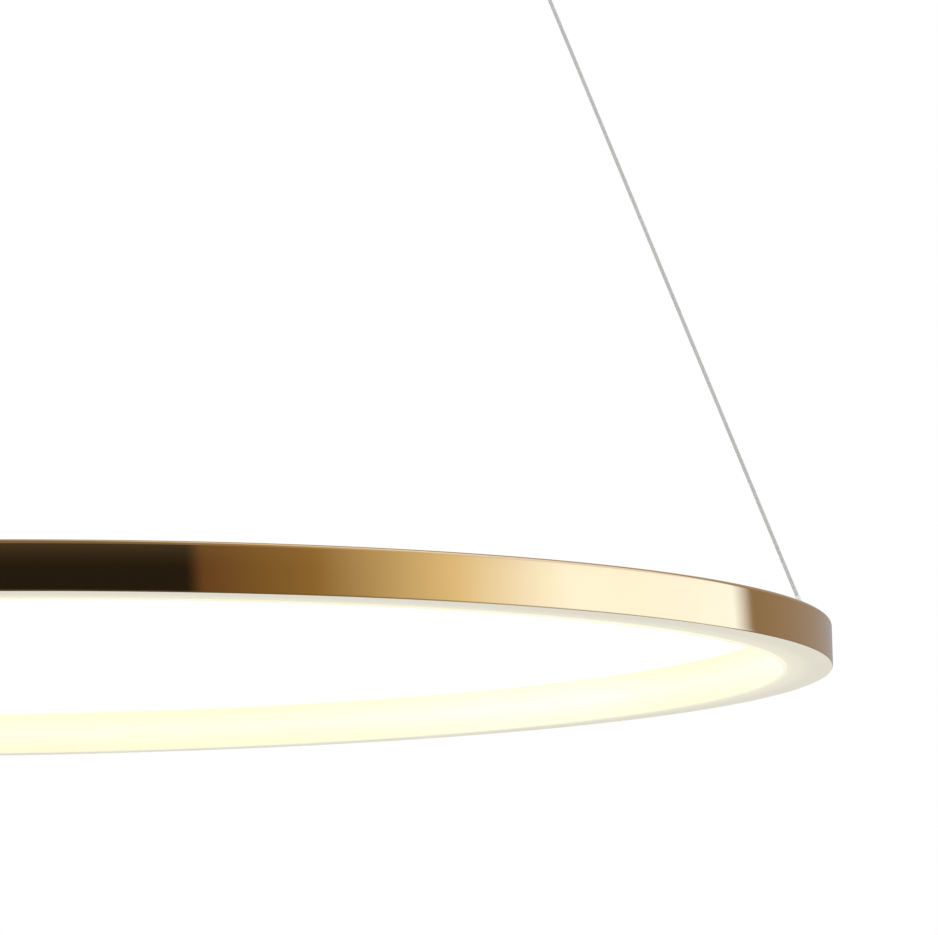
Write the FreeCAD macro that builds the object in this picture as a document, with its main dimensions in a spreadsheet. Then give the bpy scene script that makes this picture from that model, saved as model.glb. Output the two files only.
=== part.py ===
"""Ceiling light: one slim light ring, 900 mm across, hung by three thin cables from a round canopy.

Millimetres, +Z up. The origin is the centre of the ceiling face, so the whole light lies below z = 0.
The ring is drawn fully lowered, with each cable's crimped stop down on its gripper.
"""
import FreeCAD
import Part
import Sketcher
import math
import os
import re

Vector = FreeCAD.Vector
Rotation = FreeCAD.Rotation
Placement = FreeCAD.Placement

CABLE_COUNT = 3
CABLES = range(1, CABLE_COUNT + 1)

# Driving dimensions. Each one is a named cell of the sheet.
SIZES = {
    # light ring
    "overall_height": 1140.0,       # ceiling to the underside of the lowered ring
    "ring_radius": 450.0,
    "ring_height": 22.0,
    "ring_width": 26.0,
    "band_thickness": 1.8,          # polished outer band
    "band_edge_radius": 1.5,        # upper edge; the lower one is a thin lip round the channel's flange
    "band_lip": 0.4,
    "channel_wall": 1.2,            # bent channel behind the band, open to the middle
    "diffuser_thickness": 2.0,
    "diffuser_edge_radius": 0.7,
    "clip_leg_depth": 2.5,
    "clip_leg_thickness": 1.0,
    "strip_width": 10.0,
    "strip_thickness": 0.4,
    "chip_length": 3.5,
    "chip_width": 2.8,
    "chip_depth": 0.8,
    "chip_pitch_angle": 4.0,
    # cables and the ball ends that hold the ring
    "cable_radius": 1.0,
    "cable_clearance": 0.05,
    "first_azimuth": -15.0,
    "anchor_inset": 11.0,           # from the outer face of the band to the ball's centre
    "pivot_depth": 2.5,             # ball's centre below the top of the ring
    "ball_radius": 3.6,
    "seat_clearance": 0.05,
    "ball_neck_radius": 1.3,
    "ball_neck_length": 15.0,       # from the ball's centre, so that it shows above the band
    "seat_height": 1.8,             # from the ball's centre up to the narrow mouth
    "mouth_angle": 40.0,
    "bush_shank_radius": 4.5,
    "bush_head_radius": 5.5,
    "bush_head_height": 0.6,
    "bush_length": 9.0,             # shank under the head
    "washer_thickness": 0.3,
    "sleeve_wall": 0.45,            # insulating sleeve through the channel's top
    "fit_clearance": 0.05,
    "anchor_nut_radius": 6.3,       # across the corners
    "anchor_nut_height": 2.5,
    # canopy
    "canopy_radius": 80.0,
    "canopy_depth": 50.0,
    "cover_wall": 1.2,
    "cover_edge_radius": 3.0,
    "shadow_gap": 0.3,              # between the ceiling and the cover's edge
    "cover_clearance": 0.3,
    "plate_thickness": 1.5,
    "plate_rim_height": 14.0,
    "ceiling_screw_spacing": 70.0,
    "ceiling_screw_hole": 2.6,
    "entry_radius": 8.0,
    "grommet_wall": 1.2,
    "grommet_flange": 1.5,
    "cover_screw_radius": 2.0,
    "cover_screw_drop": 8.0,
    "cover_screw_hole": 2.2,
    "thumb_head_radius": 4.5,
    "thumb_head_length": 5.0,
    # cable grippers, which hang through the bottom of the cover
    "exit_radius": 40.0,            # from the canopy's axis to each cable
    "gripper_radius": 7.0,
    "gripper_height": 22.0,         # above the cover's bottom
    "gripper_cap": 1.5,
    "neck_radius": 5.0,
    "neck_length": 8.0,             # below the cover's bottom
    "gripper_nut_radius": 9.0,
    "gripper_nut_height": 4.0,
    "shoulder_height": 6.0,         # from the neck's end to the shoulder inside
    "collar_room": 4.5,
    "collar_room_radius": 4.5,
    "lock_cone_low": 2.75,
    "lock_cone_high": 3.6,
    "lock_cone_height": 6.0,
    "plunger_radius": 3.25,
    "plunger_bore": 1.3,
    "plunger_stickout": 4.0,
    "plunger_mouth_depth": 2.0,
    "plunger_mouth_radius": 2.9,
    "plunger_collar_radius": 4.2,
    "plunger_collar_height": 2.0,
    "cage_radius": 2.5,
    "cage_height": 7.0,
    "lock_ball_radius": 0.9,
    "lock_ball_height": 4.0,        # above the collar
    "spring_wire_radius": 0.25,
    "spring_radius": 2.1,
    "spring_turns": 6.0,
    "stop_radius": 3.0,
    "stop_length": 8.0,
    "cable_end_length": 2.0,        # cable left standing above the stop
    # driver and wiring inside the canopy
    "driver_clearance": 2.0,        # between the driver's outer corners and the plate's rim
    "driver_width": 28.0,
    "driver_height": 21.0,
    "driver_inset": 31.0,           # from the rim to the driver's middle
    "driver_ear": 8.0,
    "driver_ear_thickness": 2.0,
    "driver_edge_radius": 1.5,
    "block_length": 28.0,
    "block_width": 16.0,
    "block_height": 13.0,
    "block_inset": 25.0,
    "block_port_radius": 1.8,
    "block_screw_radius": 2.2,
    "small_screw_radius": 1.5,
    "small_head_radius": 3.0,
    "small_head_height": 1.8,
    "earth_inset": 22.0,
    "lead_radius": 1.0,
    "lead_gap": 4.0,                # between the two leads of a pair
    "lead_level": 12.0,             # leads run this far below the ceiling
    "lead_dip": 4.0,                # and this much lower where they turn
    "lead_run": 9.0,                # straight out of a port or the driver
    "lead_joint_gap": 0.1,
    "port_lead_depth": 2.0,
    "supply_bend_inset": 14.0,
    "supply_bend_shift": 12.0,
    "output_corner_inset": 6.0,
    "output_corner_run": 10.0,
    "output_run": 8.0,
    "stop_approach": 7.0,
    "ring_lead_inset": 1.0,
    "ring_lead_step": 6.0,          # along the strip, from the nut to each bend
    "ring_lead_reach": 20.0,        # along the strip, from the nut to the joint
}

document = FreeCAD.newDocument("led_ring_chandelier")
sheet = document.addObject("Spreadsheet::Sheet", "Sizes")
for row, (alias, number) in enumerate(SIZES.items(), start=1):
    sheet.set(f"A{row}", alias)
    sheet.set(f"B{row}", str(number))
    sheet.setAlias(f"B{row}", alias)
document.recompute()

ALIAS = re.compile(r"\b(" + "|".join(sorted(SIZES, key=len, reverse=True)) + r")\b")
nodes = []


# ---------------------------------------------------------------- binding to the sheet
def linked(expression):
    """The expression with every size name pointing at its cell."""
    return ALIAS.sub(r"Sizes.\1", expression)


def value(expression):
    """The number that an expression of sizes has now."""
    result = sheet.evalExpression(linked(expression))
    return float(getattr(result, "Value", result))


def bind(item, **properties):
    for name, expression in properties.items():
        item.setExpression(name.replace("__", "."), linked(expression))


def seat(item, radius="0", azimuth="0", height="0", turn=None):
    """Put an item at a radius and azimuth about the canopy's axis, turned with its azimuth."""
    item.Placement = Placement(Vector(), turn or Rotation(Vector(0, 0, 1), value(azimuth)))
    bind(item, Placement__Base__x=f"({radius}) * cos({azimuth})")
    bind(item, Placement__Base__y=f"({radius}) * sin({azimuth})")
    bind(item, Placement__Base__z=height)


def node(item, label):
    """Name an item as a finished piece of the light."""
    item.Label = label
    nodes.append(item)
    return item


# ---------------------------------------------------------------- shared shapes
def cylinder(name, radius, height, x="0", y="0", z="0"):
    item = document.addObject("Part::Cylinder", name)
    bind(item, Radius=radius, Height=height, Placement__Base__x=x, Placement__Base__y=y, Placement__Base__z=z)
    return item


def radial_cylinder(name, radius, length, start, azimuth, height):
    """A cylinder that points outwards from the canopy's axis."""
    item = document.addObject("Part::Cylinder", name)
    bind(item, Radius=radius, Height=length)
    outwards = Rotation(Vector(0, 0, 1), value(azimuth)) * Rotation(Vector(0, 1, 0), 90)
    seat(item, start, azimuth, height, turn=outwards)
    return item


def box(name, length, width, height, x="0", y="0", z="0"):
    """A box centred on x and y, standing up from z."""
    item = document.addObject("Part::Box", name)
    bind(item, Length=length, Width=width, Height=height)
    bind(item, Placement__Base__x=f"({x}) - ({length}) / 2", Placement__Base__y=f"({y}) - ({width}) / 2")
    bind(item, Placement__Base__z=z)
    return item


def joined(name, pieces):
    item = document.addObject("Part::MultiFuse", name)
    item.Shapes = pieces
    return item


def cut_away(name, base, tools):
    item = document.addObject("Part::Cut", name)
    item.Base = base
    item.Tool = tools[0] if len(tools) == 1 else joined(f"{name}_tools", tools)
    return item


def group(name, pieces):
    item = document.addObject("Part::Compound", name)
    item.Links = pieces
    return item


def origin_plane(body, role):
    return next(feature for feature in body.Origin.OriginFeatures if feature.Role == role)


def pin_point(sketch, line, axis, expression):
    """Fix one coordinate of a line's first point to a size."""
    if expression == "0":
        sketch.addConstraint(Sketcher.Constraint("PointOnObject", line, 1, -1 if axis == "Y" else -2))
        return
    kind = f"Distance{axis}"
    index = sketch.addConstraint(Sketcher.Constraint(kind, -1, 1, line, 1, value(expression)))
    sketch.renameConstraint(index, f"point_{line}_{axis.lower()}")
    sketch.setExpression(f"Constraints.point_{line}_{axis.lower()}", linked(expression))


def turned_body(name, profile):
    """A body turned about its own Z axis from a closed profile of (radius, height) points."""
    body = document.addObject("PartDesign::Body", name)
    sketch = body.newObject("Sketcher::SketchObject", f"{name}_profile")
    sketch.AttachmentSupport = (origin_plane(body, "XZ_Plane"), [""])
    sketch.MapMode = "FlatFace"
    corners = [Vector(value(radius), value(height), 0) for radius, height in profile]
    count = len(corners)
    for line in range(count):
        sketch.addGeometry(Part.LineSegment(corners[line], corners[(line + 1) % count]), False)
    for line in range(count):
        sketch.addConstraint(Sketcher.Constraint("Coincident", line, 2, (line + 1) % count, 1))
    for line, (radius, height) in enumerate(profile):
        pin_point(sketch, line, "X", radius)
        pin_point(sketch, line, "Y", height)
    turn = body.newObject("PartDesign::Revolution", f"{name}_turn")
    turn.Profile = sketch
    turn.ReferenceAxis = (sketch, ["V_Axis"])
    turn.Angle = 360
    document.recompute()
    return body


def round_rims(body, radius, rims):
    """Round the circular edges of a turned body that lie at the given (radius, height) places."""
    base = body.Tip
    places = [(value(rim_radius), value(rim_height)) for rim_radius, rim_height in rims]
    names = []
    for index, edge in enumerate(base.Shape.Edges, start=1):
        if not isinstance(edge.Curve, Part.Circle):
            continue
        for rim_radius, rim_height in places:
            same_radius = abs(edge.Curve.Radius - rim_radius) < 1e-6
            if same_radius and abs(edge.Curve.Center.z - rim_height) < 1e-6:
                names.append(f"Edge{index}")
    fillet = body.newObject("PartDesign::Fillet", f"{body.Name}_rounds")
    fillet.Base = (base, names)
    bind(fillet, Radius=radius)
    document.recompute()
    return fillet


def ring_of_holes(body, radius, circle_radius, first, height, depth):
    """Pockets down through a flange, one for each cable, evenly round the axis."""
    sketch = body.newObject("Sketcher::SketchObject", f"{body.Name}_hole")
    sketch.AttachmentSupport = (origin_plane(body, "XY_Plane"), [""])
    sketch.MapMode = "FlatFace"
    bind(sketch, AttachmentOffset__Base__z=height)
    x_place = f"({circle_radius}) * cos({first})"
    y_place = f"({circle_radius}) * sin({first})"
    centre = Vector(value(x_place), value(y_place), 0)
    sketch.addGeometry(Part.Circle(centre, Vector(0, 0, 1), value(radius)), False)
    for kind, arguments, expression in (
        ("DistanceX", (-1, 1, 0, 3), x_place),
        ("DistanceY", (-1, 1, 0, 3), y_place),
        ("Radius", (0,), radius),
    ):
        index = sketch.addConstraint(Sketcher.Constraint(kind, *arguments, value(expression)))
        sketch.renameConstraint(index, f"hole_{kind.lower()}")
        sketch.setExpression(f"Constraints.hole_{kind.lower()}", linked(expression))
    pocket = body.newObject("PartDesign::Pocket", f"{body.Name}_pocket")
    pocket.Profile = sketch
    pocket.Type = "Length"
    bind(pocket, Length=depth)
    document.recompute()
    before = body.Shape.Volume
    pattern = body.newObject("PartDesign::PolarPattern", f"{body.Name}_holes")
    pattern.Originals = [pocket]
    pattern.Axis = (sketch, ["N_Axis"])
    pattern.Angle = 360
    pattern.Occurrences = CABLE_COUNT
    body.Tip = pattern
    document.recompute()
    if body.Shape.Volume >= before:
        raise RuntimeError(f"the holes of {body.Name} cut nothing")


def rounded_path(points):
    """Straight runs joined by tangent arcs, each as large as its two runs allow."""
    edges = []
    start = points[0]
    for before, corner, after in zip(points, points[1:], points[2:]):
        back = (before - corner).normalize()
        ahead = (after - corner).normalize()
        reach = 0.45 * min(before.distanceToPoint(corner), after.distanceToPoint(corner))
        half_opening = back.getAngle(ahead) / 2
        radius = reach * math.tan(half_opening)
        inward = (back + ahead).normalize()
        middle = corner + inward * (radius / math.sin(half_opening) - radius)
        arc_start = corner + back * reach
        arc_end = corner + ahead * reach
        edges.append(Part.LineSegment(start, arc_start).toShape())
        edges.append(Part.Arc(arc_start, middle, arc_end).toShape())
        start = arc_end
    edges.append(Part.LineSegment(start, points[-1]).toShape())
    return Part.Wire(edges)


def piped(path, radius, start, direction):
    """A round tube along a path, checked against its section times its length."""
    section = Part.Wire([Part.makeCircle(radius, start, direction)])
    tube = path.makePipeShell([section], True, False)
    expected = math.pi * radius ** 2 * path.Length
    if abs(tube.Volume / expected - 1) > 0.03:
        raise RuntimeError(f"a tube holds {tube.Volume:.1f} instead of {expected:.1f}")
    return tube


def free_shape(label, shape):
    item = document.addObject("Part::Feature", label)
    item.Shape = shape
    return node(item, label)


# ---------------------------------------------------------------- places shared by several pieces
def cable_azimuth(index):
    return f"(first_azimuth + {360 * (index - 1) // CABLE_COUNT})"


def between_azimuth(index):
    """Halfway between one cable and the next."""
    return f"(first_azimuth + {180 * (2 * index - 1) // CABLE_COUNT})"


RING_BOTTOM = "(-overall_height)"
RING_TOP = "(ring_height - overall_height)"
RING_INSIDE = "(ring_radius - ring_width)"
LIP_INSIDE = "(ring_radius - band_lip)"
CHANNEL_OUTSIDE = "(ring_radius - band_thickness)"
CHANNEL_INSIDE = "(ring_radius - band_thickness - channel_wall)"
FLANGE_END = "(ring_radius - ring_width + diffuser_thickness)"
STRIP_FACE = "(ring_radius - band_thickness - channel_wall - strip_thickness)"
ANCHOR_RADIUS = "(ring_radius - anchor_inset)"
PIVOT_HEIGHT = "(ring_height - overall_height - pivot_depth)"
SLEEVE_RADIUS = "(bush_shank_radius + fit_clearance + sleeve_wall)"

COVER_BOTTOM = "(-canopy_depth)"
COVER_INSIDE = "(canopy_radius - cover_wall)"
RIM_OUTSIDE = "(canopy_radius - cover_wall - cover_clearance)"
RIM_INSIDE = "(canopy_radius - cover_wall - cover_clearance - plate_thickness)"
PLATE_UNDERSIDE = "(-plate_thickness)"
NECK_END = "(-canopy_depth - neck_length)"
GRIPPER_TOP = "(cover_wall - canopy_depth + gripper_height)"
SHOULDER = "(-canopy_depth - neck_length + shoulder_height)"
CAP_UNDERSIDE = "(cover_wall - canopy_depth + gripper_height - gripper_cap)"
NOZZLE_END = "(-canopy_depth - neck_length - plunger_stickout)"
BEND_HEIGHT = "(-canopy_depth - neck_length - plunger_stickout + plunger_mouth_depth)"
COLLAR_TOP = f"({SHOULDER} + plunger_collar_height)"
CAGE_TOP = f"({COLLAR_TOP} + cage_height)"
CABLE_BORE = "(cable_radius + cable_clearance)"
CABLE_RUN = f"({ANCHOR_RADIUS} - exit_radius)"
CABLE_DROP = f"({BEND_HEIGHT} - {PIVOT_HEIGHT})"
CABLE_TILT = f"(atan2({CABLE_RUN}; {CABLE_DROP}) / 1 deg)"
DRIVER_OFFSET = f"({RIM_INSIDE} - driver_inset)"
DRIVER_CORNER = f"({RIM_INSIDE} - driver_clearance)"
DRIVER_LENGTH = f"(2 * sqrt({DRIVER_CORNER} ^ 2 - ({DRIVER_OFFSET} + driver_width / 2) ^ 2))"
DRIVER_EAR_PLACE = f"(({DRIVER_LENGTH} + driver_ear) / 2)"
BLOCK_OFFSET = f"({RIM_INSIDE} - block_inset)"
DRIVER_AZIMUTH = between_azimuth(1)
BLOCK_AZIMUTH = between_azimuth(2)
EARTH_AZIMUTH = between_azimuth(3)


# ---------------------------------------------------------------- light ring
def outer_band():
    """Polished band round the channel, its upper edge rounded and its lower edge a lip round the flange."""
    body = turned_body("outer_band_body", [
        (CHANNEL_OUTSIDE, "channel_wall"),
        (LIP_INSIDE, "channel_wall"),
        (LIP_INSIDE, "0"),
        ("ring_radius", "0"),
        ("ring_radius", "ring_height"),
        (CHANNEL_OUTSIDE, "ring_height"),
    ])
    round_rims(body, "min(band_edge_radius; band_thickness * 0.9; ring_height * 0.4)",
               [("ring_radius", "ring_height")])
    round_rims(body, "band_lip * 0.4", [("ring_radius", "0")])
    seat(body, height=RING_BOTTOM)
    node(body, "outer_band")


def ring_housing():
    """Bent channel, white outside, open to the middle, its underside reaching out beneath the band."""
    body = turned_body("ring_housing_body", [
        (FLANGE_END, "0"),
        (LIP_INSIDE, "0"),
        (LIP_INSIDE, "channel_wall"),
        (CHANNEL_OUTSIDE, "channel_wall"),
        (CHANNEL_OUTSIDE, "ring_height"),
        (FLANGE_END, "ring_height"),
        (FLANGE_END, "ring_height - channel_wall"),
        (CHANNEL_INSIDE, "ring_height - channel_wall"),
        (CHANNEL_INSIDE, "channel_wall"),
        (FLANGE_END, "channel_wall"),
    ])
    ring_of_holes(body, f"{SLEEVE_RADIUS} + fit_clearance", ANCHOR_RADIUS, "first_azimuth",
                  "ring_height", "channel_wall")
    seat(body, height=RING_BOTTOM)
    node(body, "ring_housing")


def diffuser():
    """Opal inner face of the ring, held by two clip legs between the channel's flanges."""
    leg_end = f"({FLANGE_END} + clip_leg_depth)"
    body = turned_body("diffuser_body", [
        (RING_INSIDE, "0"),
        (FLANGE_END, "0"),
        (FLANGE_END, "channel_wall"),
        (leg_end, "channel_wall"),
        (leg_end, "channel_wall + clip_leg_thickness"),
        (FLANGE_END, "channel_wall + clip_leg_thickness"),
        (FLANGE_END, "ring_height - channel_wall - clip_leg_thickness"),
        (leg_end, "ring_height - channel_wall - clip_leg_thickness"),
        (leg_end, "ring_height - channel_wall"),
        (FLANGE_END, "ring_height - channel_wall"),
        (FLANGE_END, "ring_height"),
        (RING_INSIDE, "ring_height"),
    ])
    round_rims(body, "min(diffuser_edge_radius; diffuser_thickness * 0.9; ring_height * 0.4)",
               [(RING_INSIDE, "0"), (RING_INSIDE, "ring_height")])
    seat(body, height=RING_BOTTOM)
    node(body, "diffuser")


def light_strip():
    """Flexible circuit strip on the channel's wall, and the light chips along it."""
    body = turned_body("led_strip_body", [
        (STRIP_FACE, "(ring_height - strip_width) / 2"),
        (CHANNEL_INSIDE, "(ring_height - strip_width) / 2"),
        (CHANNEL_INSIDE, "(ring_height + strip_width) / 2"),
        (STRIP_FACE, "(ring_height + strip_width) / 2"),
    ])
    seat(body, height=RING_BOTTOM)
    node(body, "led_strip")

    depth = value("chip_depth")
    length = value("chip_length")
    width = value("chip_width")
    # The chip's corners meet the curved strip, so its middle stands a hair off it.
    face = math.sqrt(value(STRIP_FACE) ** 2 - (length / 2) ** 2)
    low = value(f"{RING_BOTTOM} + (ring_height - chip_width) / 2")
    chips = []
    for step in range(int(round(360 / value("chip_pitch_angle")))):
        chip = Part.makeBox(depth, length, width, Vector(face - depth, -length / 2, low))
        turn = value("first_azimuth") + (step + 0.5) * value("chip_pitch_angle")
        chip.rotate(Vector(), Vector(0, 0, 1), turn)
        chips.append(chip)
    free_shape("led_chips", Part.makeCompound(chips))


def cable_anchor(index):
    """Threaded bush in the ring's top with a ball seat and a flared mouth for the slanting cable."""
    bore = "(ball_radius + seat_clearance)"
    mouth = f"sqrt({bore} * {bore} - seat_height * seat_height)"
    # Heights are measured from the shank's lower end.
    ring_top = "(bush_length - washer_thickness)"
    pivot = f"({ring_top} - pivot_depth)"
    top = "(bush_length + bush_head_height)"
    flare = f"({mouth} + ({top} - {pivot} - seat_height) * tan(mouth_angle))"
    blank = turned_body(f"bush_{index}_blank", [
        (bore, "0"),
        ("bush_shank_radius", "0"),
        ("bush_shank_radius", "bush_length"),
        ("bush_head_radius", "bush_length"),
        ("bush_head_radius", top),
        (flare, top),
        (mouth, f"{pivot} + seat_height"),
        (mouth, pivot),
        (bore, pivot),
    ])
    ball_room = document.addObject("Part::Sphere", f"bush_{index}_seat")
    bind(ball_room, Radius=bore, Placement__Base__z=pivot)
    bush = cut_away(f"bush_{index}", blank, [ball_room])
    seat(bush, ANCHOR_RADIUS, cable_azimuth(index), f"{RING_TOP} - {ring_top}")
    node(bush, f"cable_anchor_{index}")


def anchor_fittings():
    """Insulating sleeves and washers round the bushes, and the hexagon nuts under the flange."""
    sleeves = []
    nuts = []
    for index in CABLES:
        sleeve = turned_body(f"sleeve_{index}", [
            ("bush_shank_radius + fit_clearance", "0"),
            (SLEEVE_RADIUS, "0"),
            (SLEEVE_RADIUS, "channel_wall"),
            ("bush_head_radius", "channel_wall"),
            ("bush_head_radius", "channel_wall + washer_thickness"),
            ("bush_shank_radius + fit_clearance", "channel_wall + washer_thickness"),
        ])
        seat(sleeve, ANCHOR_RADIUS, cable_azimuth(index), f"{RING_TOP} - channel_wall")
        washer = turned_body(f"washer_{index}", [
            ("bush_shank_radius + fit_clearance", "0"),
            ("anchor_nut_radius", "0"),
            ("anchor_nut_radius", "washer_thickness"),
            ("bush_shank_radius + fit_clearance", "washer_thickness"),
        ])
        seat(washer, ANCHOR_RADIUS, cable_azimuth(index), f"{RING_TOP} - channel_wall - washer_thickness")
        sleeves += [sleeve, washer]

        hexagon = document.addObject("Part::Prism", f"anchor_nut_{index}_blank")
        hexagon.Polygon = 6
        bind(hexagon, Circumradius="anchor_nut_radius", Height="anchor_nut_height")
        bore = cylinder(f"anchor_nut_{index}_bore", "bush_shank_radius", "anchor_nut_height")
        nut = cut_away(f"anchor_nut_{index}", hexagon, [bore])
        seat(nut, ANCHOR_RADIUS, cable_azimuth(index),
             f"{RING_TOP} - channel_wall - washer_thickness - anchor_nut_height")
        nuts.append(nut)
    node(group("insulating_washer_group", sleeves), "insulating_washers")
    node(group("anchor_nut_group", nuts), "anchor_nuts")


def cable_end(index):
    """Ball crimped on the cable's lower end, with a short neck that follows the cable."""
    ball = document.addObject("Part::Sphere", f"ball_{index}")
    bind(ball, Radius="ball_radius")
    neck = cylinder(f"ball_neck_{index}", "ball_neck_radius", "ball_neck_length")
    bore = cylinder(f"ball_bore_{index}", CABLE_BORE, "2 * ball_radius + ball_neck_length",
                    z="-2 * ball_radius")
    end = cut_away(f"ball_end_{index}", joined(f"ball_and_neck_{index}", [ball, neck]), [bore])
    outwards = Rotation(Vector(0, 0, 1), value(cable_azimuth(index)))
    leaning = outwards * Rotation(Vector(0, 1, 0), -value(CABLE_TILT))
    seat(end, ANCHOR_RADIUS, cable_azimuth(index), PIVOT_HEIGHT, turn=leaning)
    node(end, f"cable_end_{index}")


def ring_leads():
    """Two short leads that join the live bushes to the strip."""
    leads = []
    radius = value("lead_radius") / 2
    anchor = value(ANCHOR_RADIUS)
    inset = value("ring_lead_inset")
    step = value("ring_lead_step")
    for index in CABLES[:2]:
        azimuth = value(cable_azimuth(index))
        nut_under = value(f"{RING_TOP} - channel_wall - washer_thickness - anchor_nut_height")
        nut_flat = value("anchor_nut_radius") * math.cos(math.radians(30))
        strip_at = value(f"{RING_BOTTOM} + ring_height / 2")
        face = value(STRIP_FACE) - radius
        side = nut_flat + radius
        joint = side + value("ring_lead_reach")
        points = [
            Vector(anchor - inset, side, nut_under + radius),
            Vector(anchor - inset, side + step, nut_under - inset),
            Vector(anchor + 2 * inset, side + 2 * step, strip_at + inset),
            Vector(math.sqrt(face ** 2 - joint ** 2) - value("lead_joint_gap"), joint, strip_at),
        ]
        lead = piped(rounded_path(points), radius, points[0], points[1] - points[0])
        lead.rotate(Vector(), Vector(0, 0, 1), azimuth)
        leads.append(lead)
    free_shape("ring_leads", Part.makeCompound(leads))


# ---------------------------------------------------------------- canopy
def ceiling_plate():
    """Pressed steel pan that is screwed to the ceiling, its rim turned down."""
    pan = turned_body("ceiling_pan", [
        ("entry_radius", "plate_rim_height - plate_thickness"),
        (RIM_INSIDE, "plate_rim_height - plate_thickness"),
        (RIM_INSIDE, "0"),
        (RIM_OUTSIDE, "0"),
        (RIM_OUTSIDE, "plate_rim_height"),
        ("entry_radius", "plate_rim_height"),
    ])
    seat(pan, height="-plate_rim_height")
    holes = [
        cylinder("ceiling_hole_left", "ceiling_screw_hole", "2 * plate_thickness",
                 x="-ceiling_screw_spacing / 2", z="-1.5 * plate_thickness"),
        cylinder("ceiling_hole_right", "ceiling_screw_hole", "2 * plate_thickness",
                 x="ceiling_screw_spacing / 2", z="-1.5 * plate_thickness"),
    ]
    for index in CABLES:
        holes.append(radial_cylinder(f"rim_hole_{index}", "cover_screw_radius", "3 * plate_thickness",
                                     f"{RIM_INSIDE} - plate_thickness", between_azimuth(index),
                                     "-cover_screw_drop"))
    for name, radius, azimuth in small_screw_places():
        hole = cylinder(f"{name}_hole", "small_screw_radius", "2 * plate_thickness")
        seat(hole, radius, azimuth, "-1.5 * plate_thickness")
        holes.append(hole)
    node(cut_away("ceiling_pan_with_holes", pan, holes), "ceiling_plate")

    grommet = turned_body("grommet", [
        ("entry_radius - grommet_wall", "0"),
        ("entry_radius + grommet_flange", "0"),
        ("entry_radius + grommet_flange", "grommet_wall"),
        ("entry_radius", "grommet_wall"),
        ("entry_radius", "grommet_wall + plate_thickness"),
        ("entry_radius - grommet_wall", "grommet_wall + plate_thickness"),
    ])
    seat(grommet, height=f"{PLATE_UNDERSIDE} - grommet_wall")
    node(grommet, "entry_grommet")


def small_screw_places():
    """Name, radius and azimuth of each small screw that goes up into the ceiling plate."""
    along = f"(atan2({DRIVER_EAR_PLACE}; {DRIVER_OFFSET}) / 1 deg)"
    out = f"sqrt({DRIVER_EAR_PLACE} ^ 2 + {DRIVER_OFFSET} ^ 2)"
    return [
        ("driver_screw_1", out, f"({DRIVER_AZIMUTH} + {along})"),
        ("driver_screw_2", out, f"({DRIVER_AZIMUTH} - {along})"),
        ("earth_screw", f"{RIM_INSIDE} - earth_inset", EARTH_AZIMUTH),
    ]


def small_screw(name, radius, azimuth, under):
    """Pan-head screw with a crossed recess, its head below the level it clamps."""
    head = cylinder(f"{name}_head", "small_head_radius", "small_head_height", z="-small_head_height")
    shank = cylinder(f"{name}_shank", "small_screw_radius", f"-({under})")
    slots = [
        box(f"{name}_slot_a", "small_head_radius * 1.2", "small_head_radius * 0.22",
            "small_head_height * 0.5", z="-small_head_height"),
        box(f"{name}_slot_b", "small_head_radius * 0.22", "small_head_radius * 1.2",
            "small_head_height * 0.5", z="-small_head_height"),
    ]
    screw = cut_away(f"{name}_body", joined(f"{name}_blank", [head, shank]), slots)
    seat(screw, radius, azimuth, under)
    return screw


def canopy_cover():
    """Deep round cup that hides the plate and carries the three grippers."""
    body = turned_body("cover_cup", [
        ("0", "0"),
        ("canopy_radius", "0"),
        ("canopy_radius", "canopy_depth - shadow_gap"),
        (COVER_INSIDE, "canopy_depth - shadow_gap"),
        (COVER_INSIDE, "cover_wall"),
        ("0", "cover_wall"),
    ])
    round_rims(body, "cover_edge_radius", [("canopy_radius", "0")])
    round_rims(body, "max(cover_edge_radius - cover_wall; cover_wall * 0.3)", [(COVER_INSIDE, "cover_wall")])
    ring_of_holes(body, "neck_radius + fit_clearance", "exit_radius", "first_azimuth", "cover_wall",
                  "cover_wall")
    seat(body, height=COVER_BOTTOM)
    side_holes = [
        radial_cylinder(f"cover_side_hole_{index}", "cover_screw_hole", "4 * cover_wall",
                        "canopy_radius - 2.5 * cover_wall", between_azimuth(index), "-cover_screw_drop")
        for index in CABLES
    ]
    node(cut_away("cover_cup_with_holes", body, side_holes), "canopy_cover")

    screws = []
    for index in CABLES:
        shank = radial_cylinder(f"cover_screw_shank_{index}", "cover_screw_radius",
                                f"canopy_radius - {RIM_INSIDE} + plate_thickness",
                                f"{RIM_INSIDE} - plate_thickness", between_azimuth(index),
                                "-cover_screw_drop")
        head = radial_cylinder(f"cover_screw_head_{index}", "thumb_head_radius", "thumb_head_length",
                               "canopy_radius", between_azimuth(index), "-cover_screw_drop")
        rounded = document.addObject("Part::Chamfer", f"cover_screw_head_{index}_edges")
        document.recompute()
        rounded.Base = head
        bevel = value("min(thumb_head_length; thumb_head_radius)") * 0.12
        rims = [i for i, edge in enumerate(head.Shape.Edges, 1) if isinstance(edge.Curve, Part.Circle)]
        rounded.Edges = [(rim, bevel, bevel) for rim in rims]
        screws.append(joined(f"cover_screw_{index}", [shank, rounded]))
    node(group("cover_screw_group", screws), "cover_screws")


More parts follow.
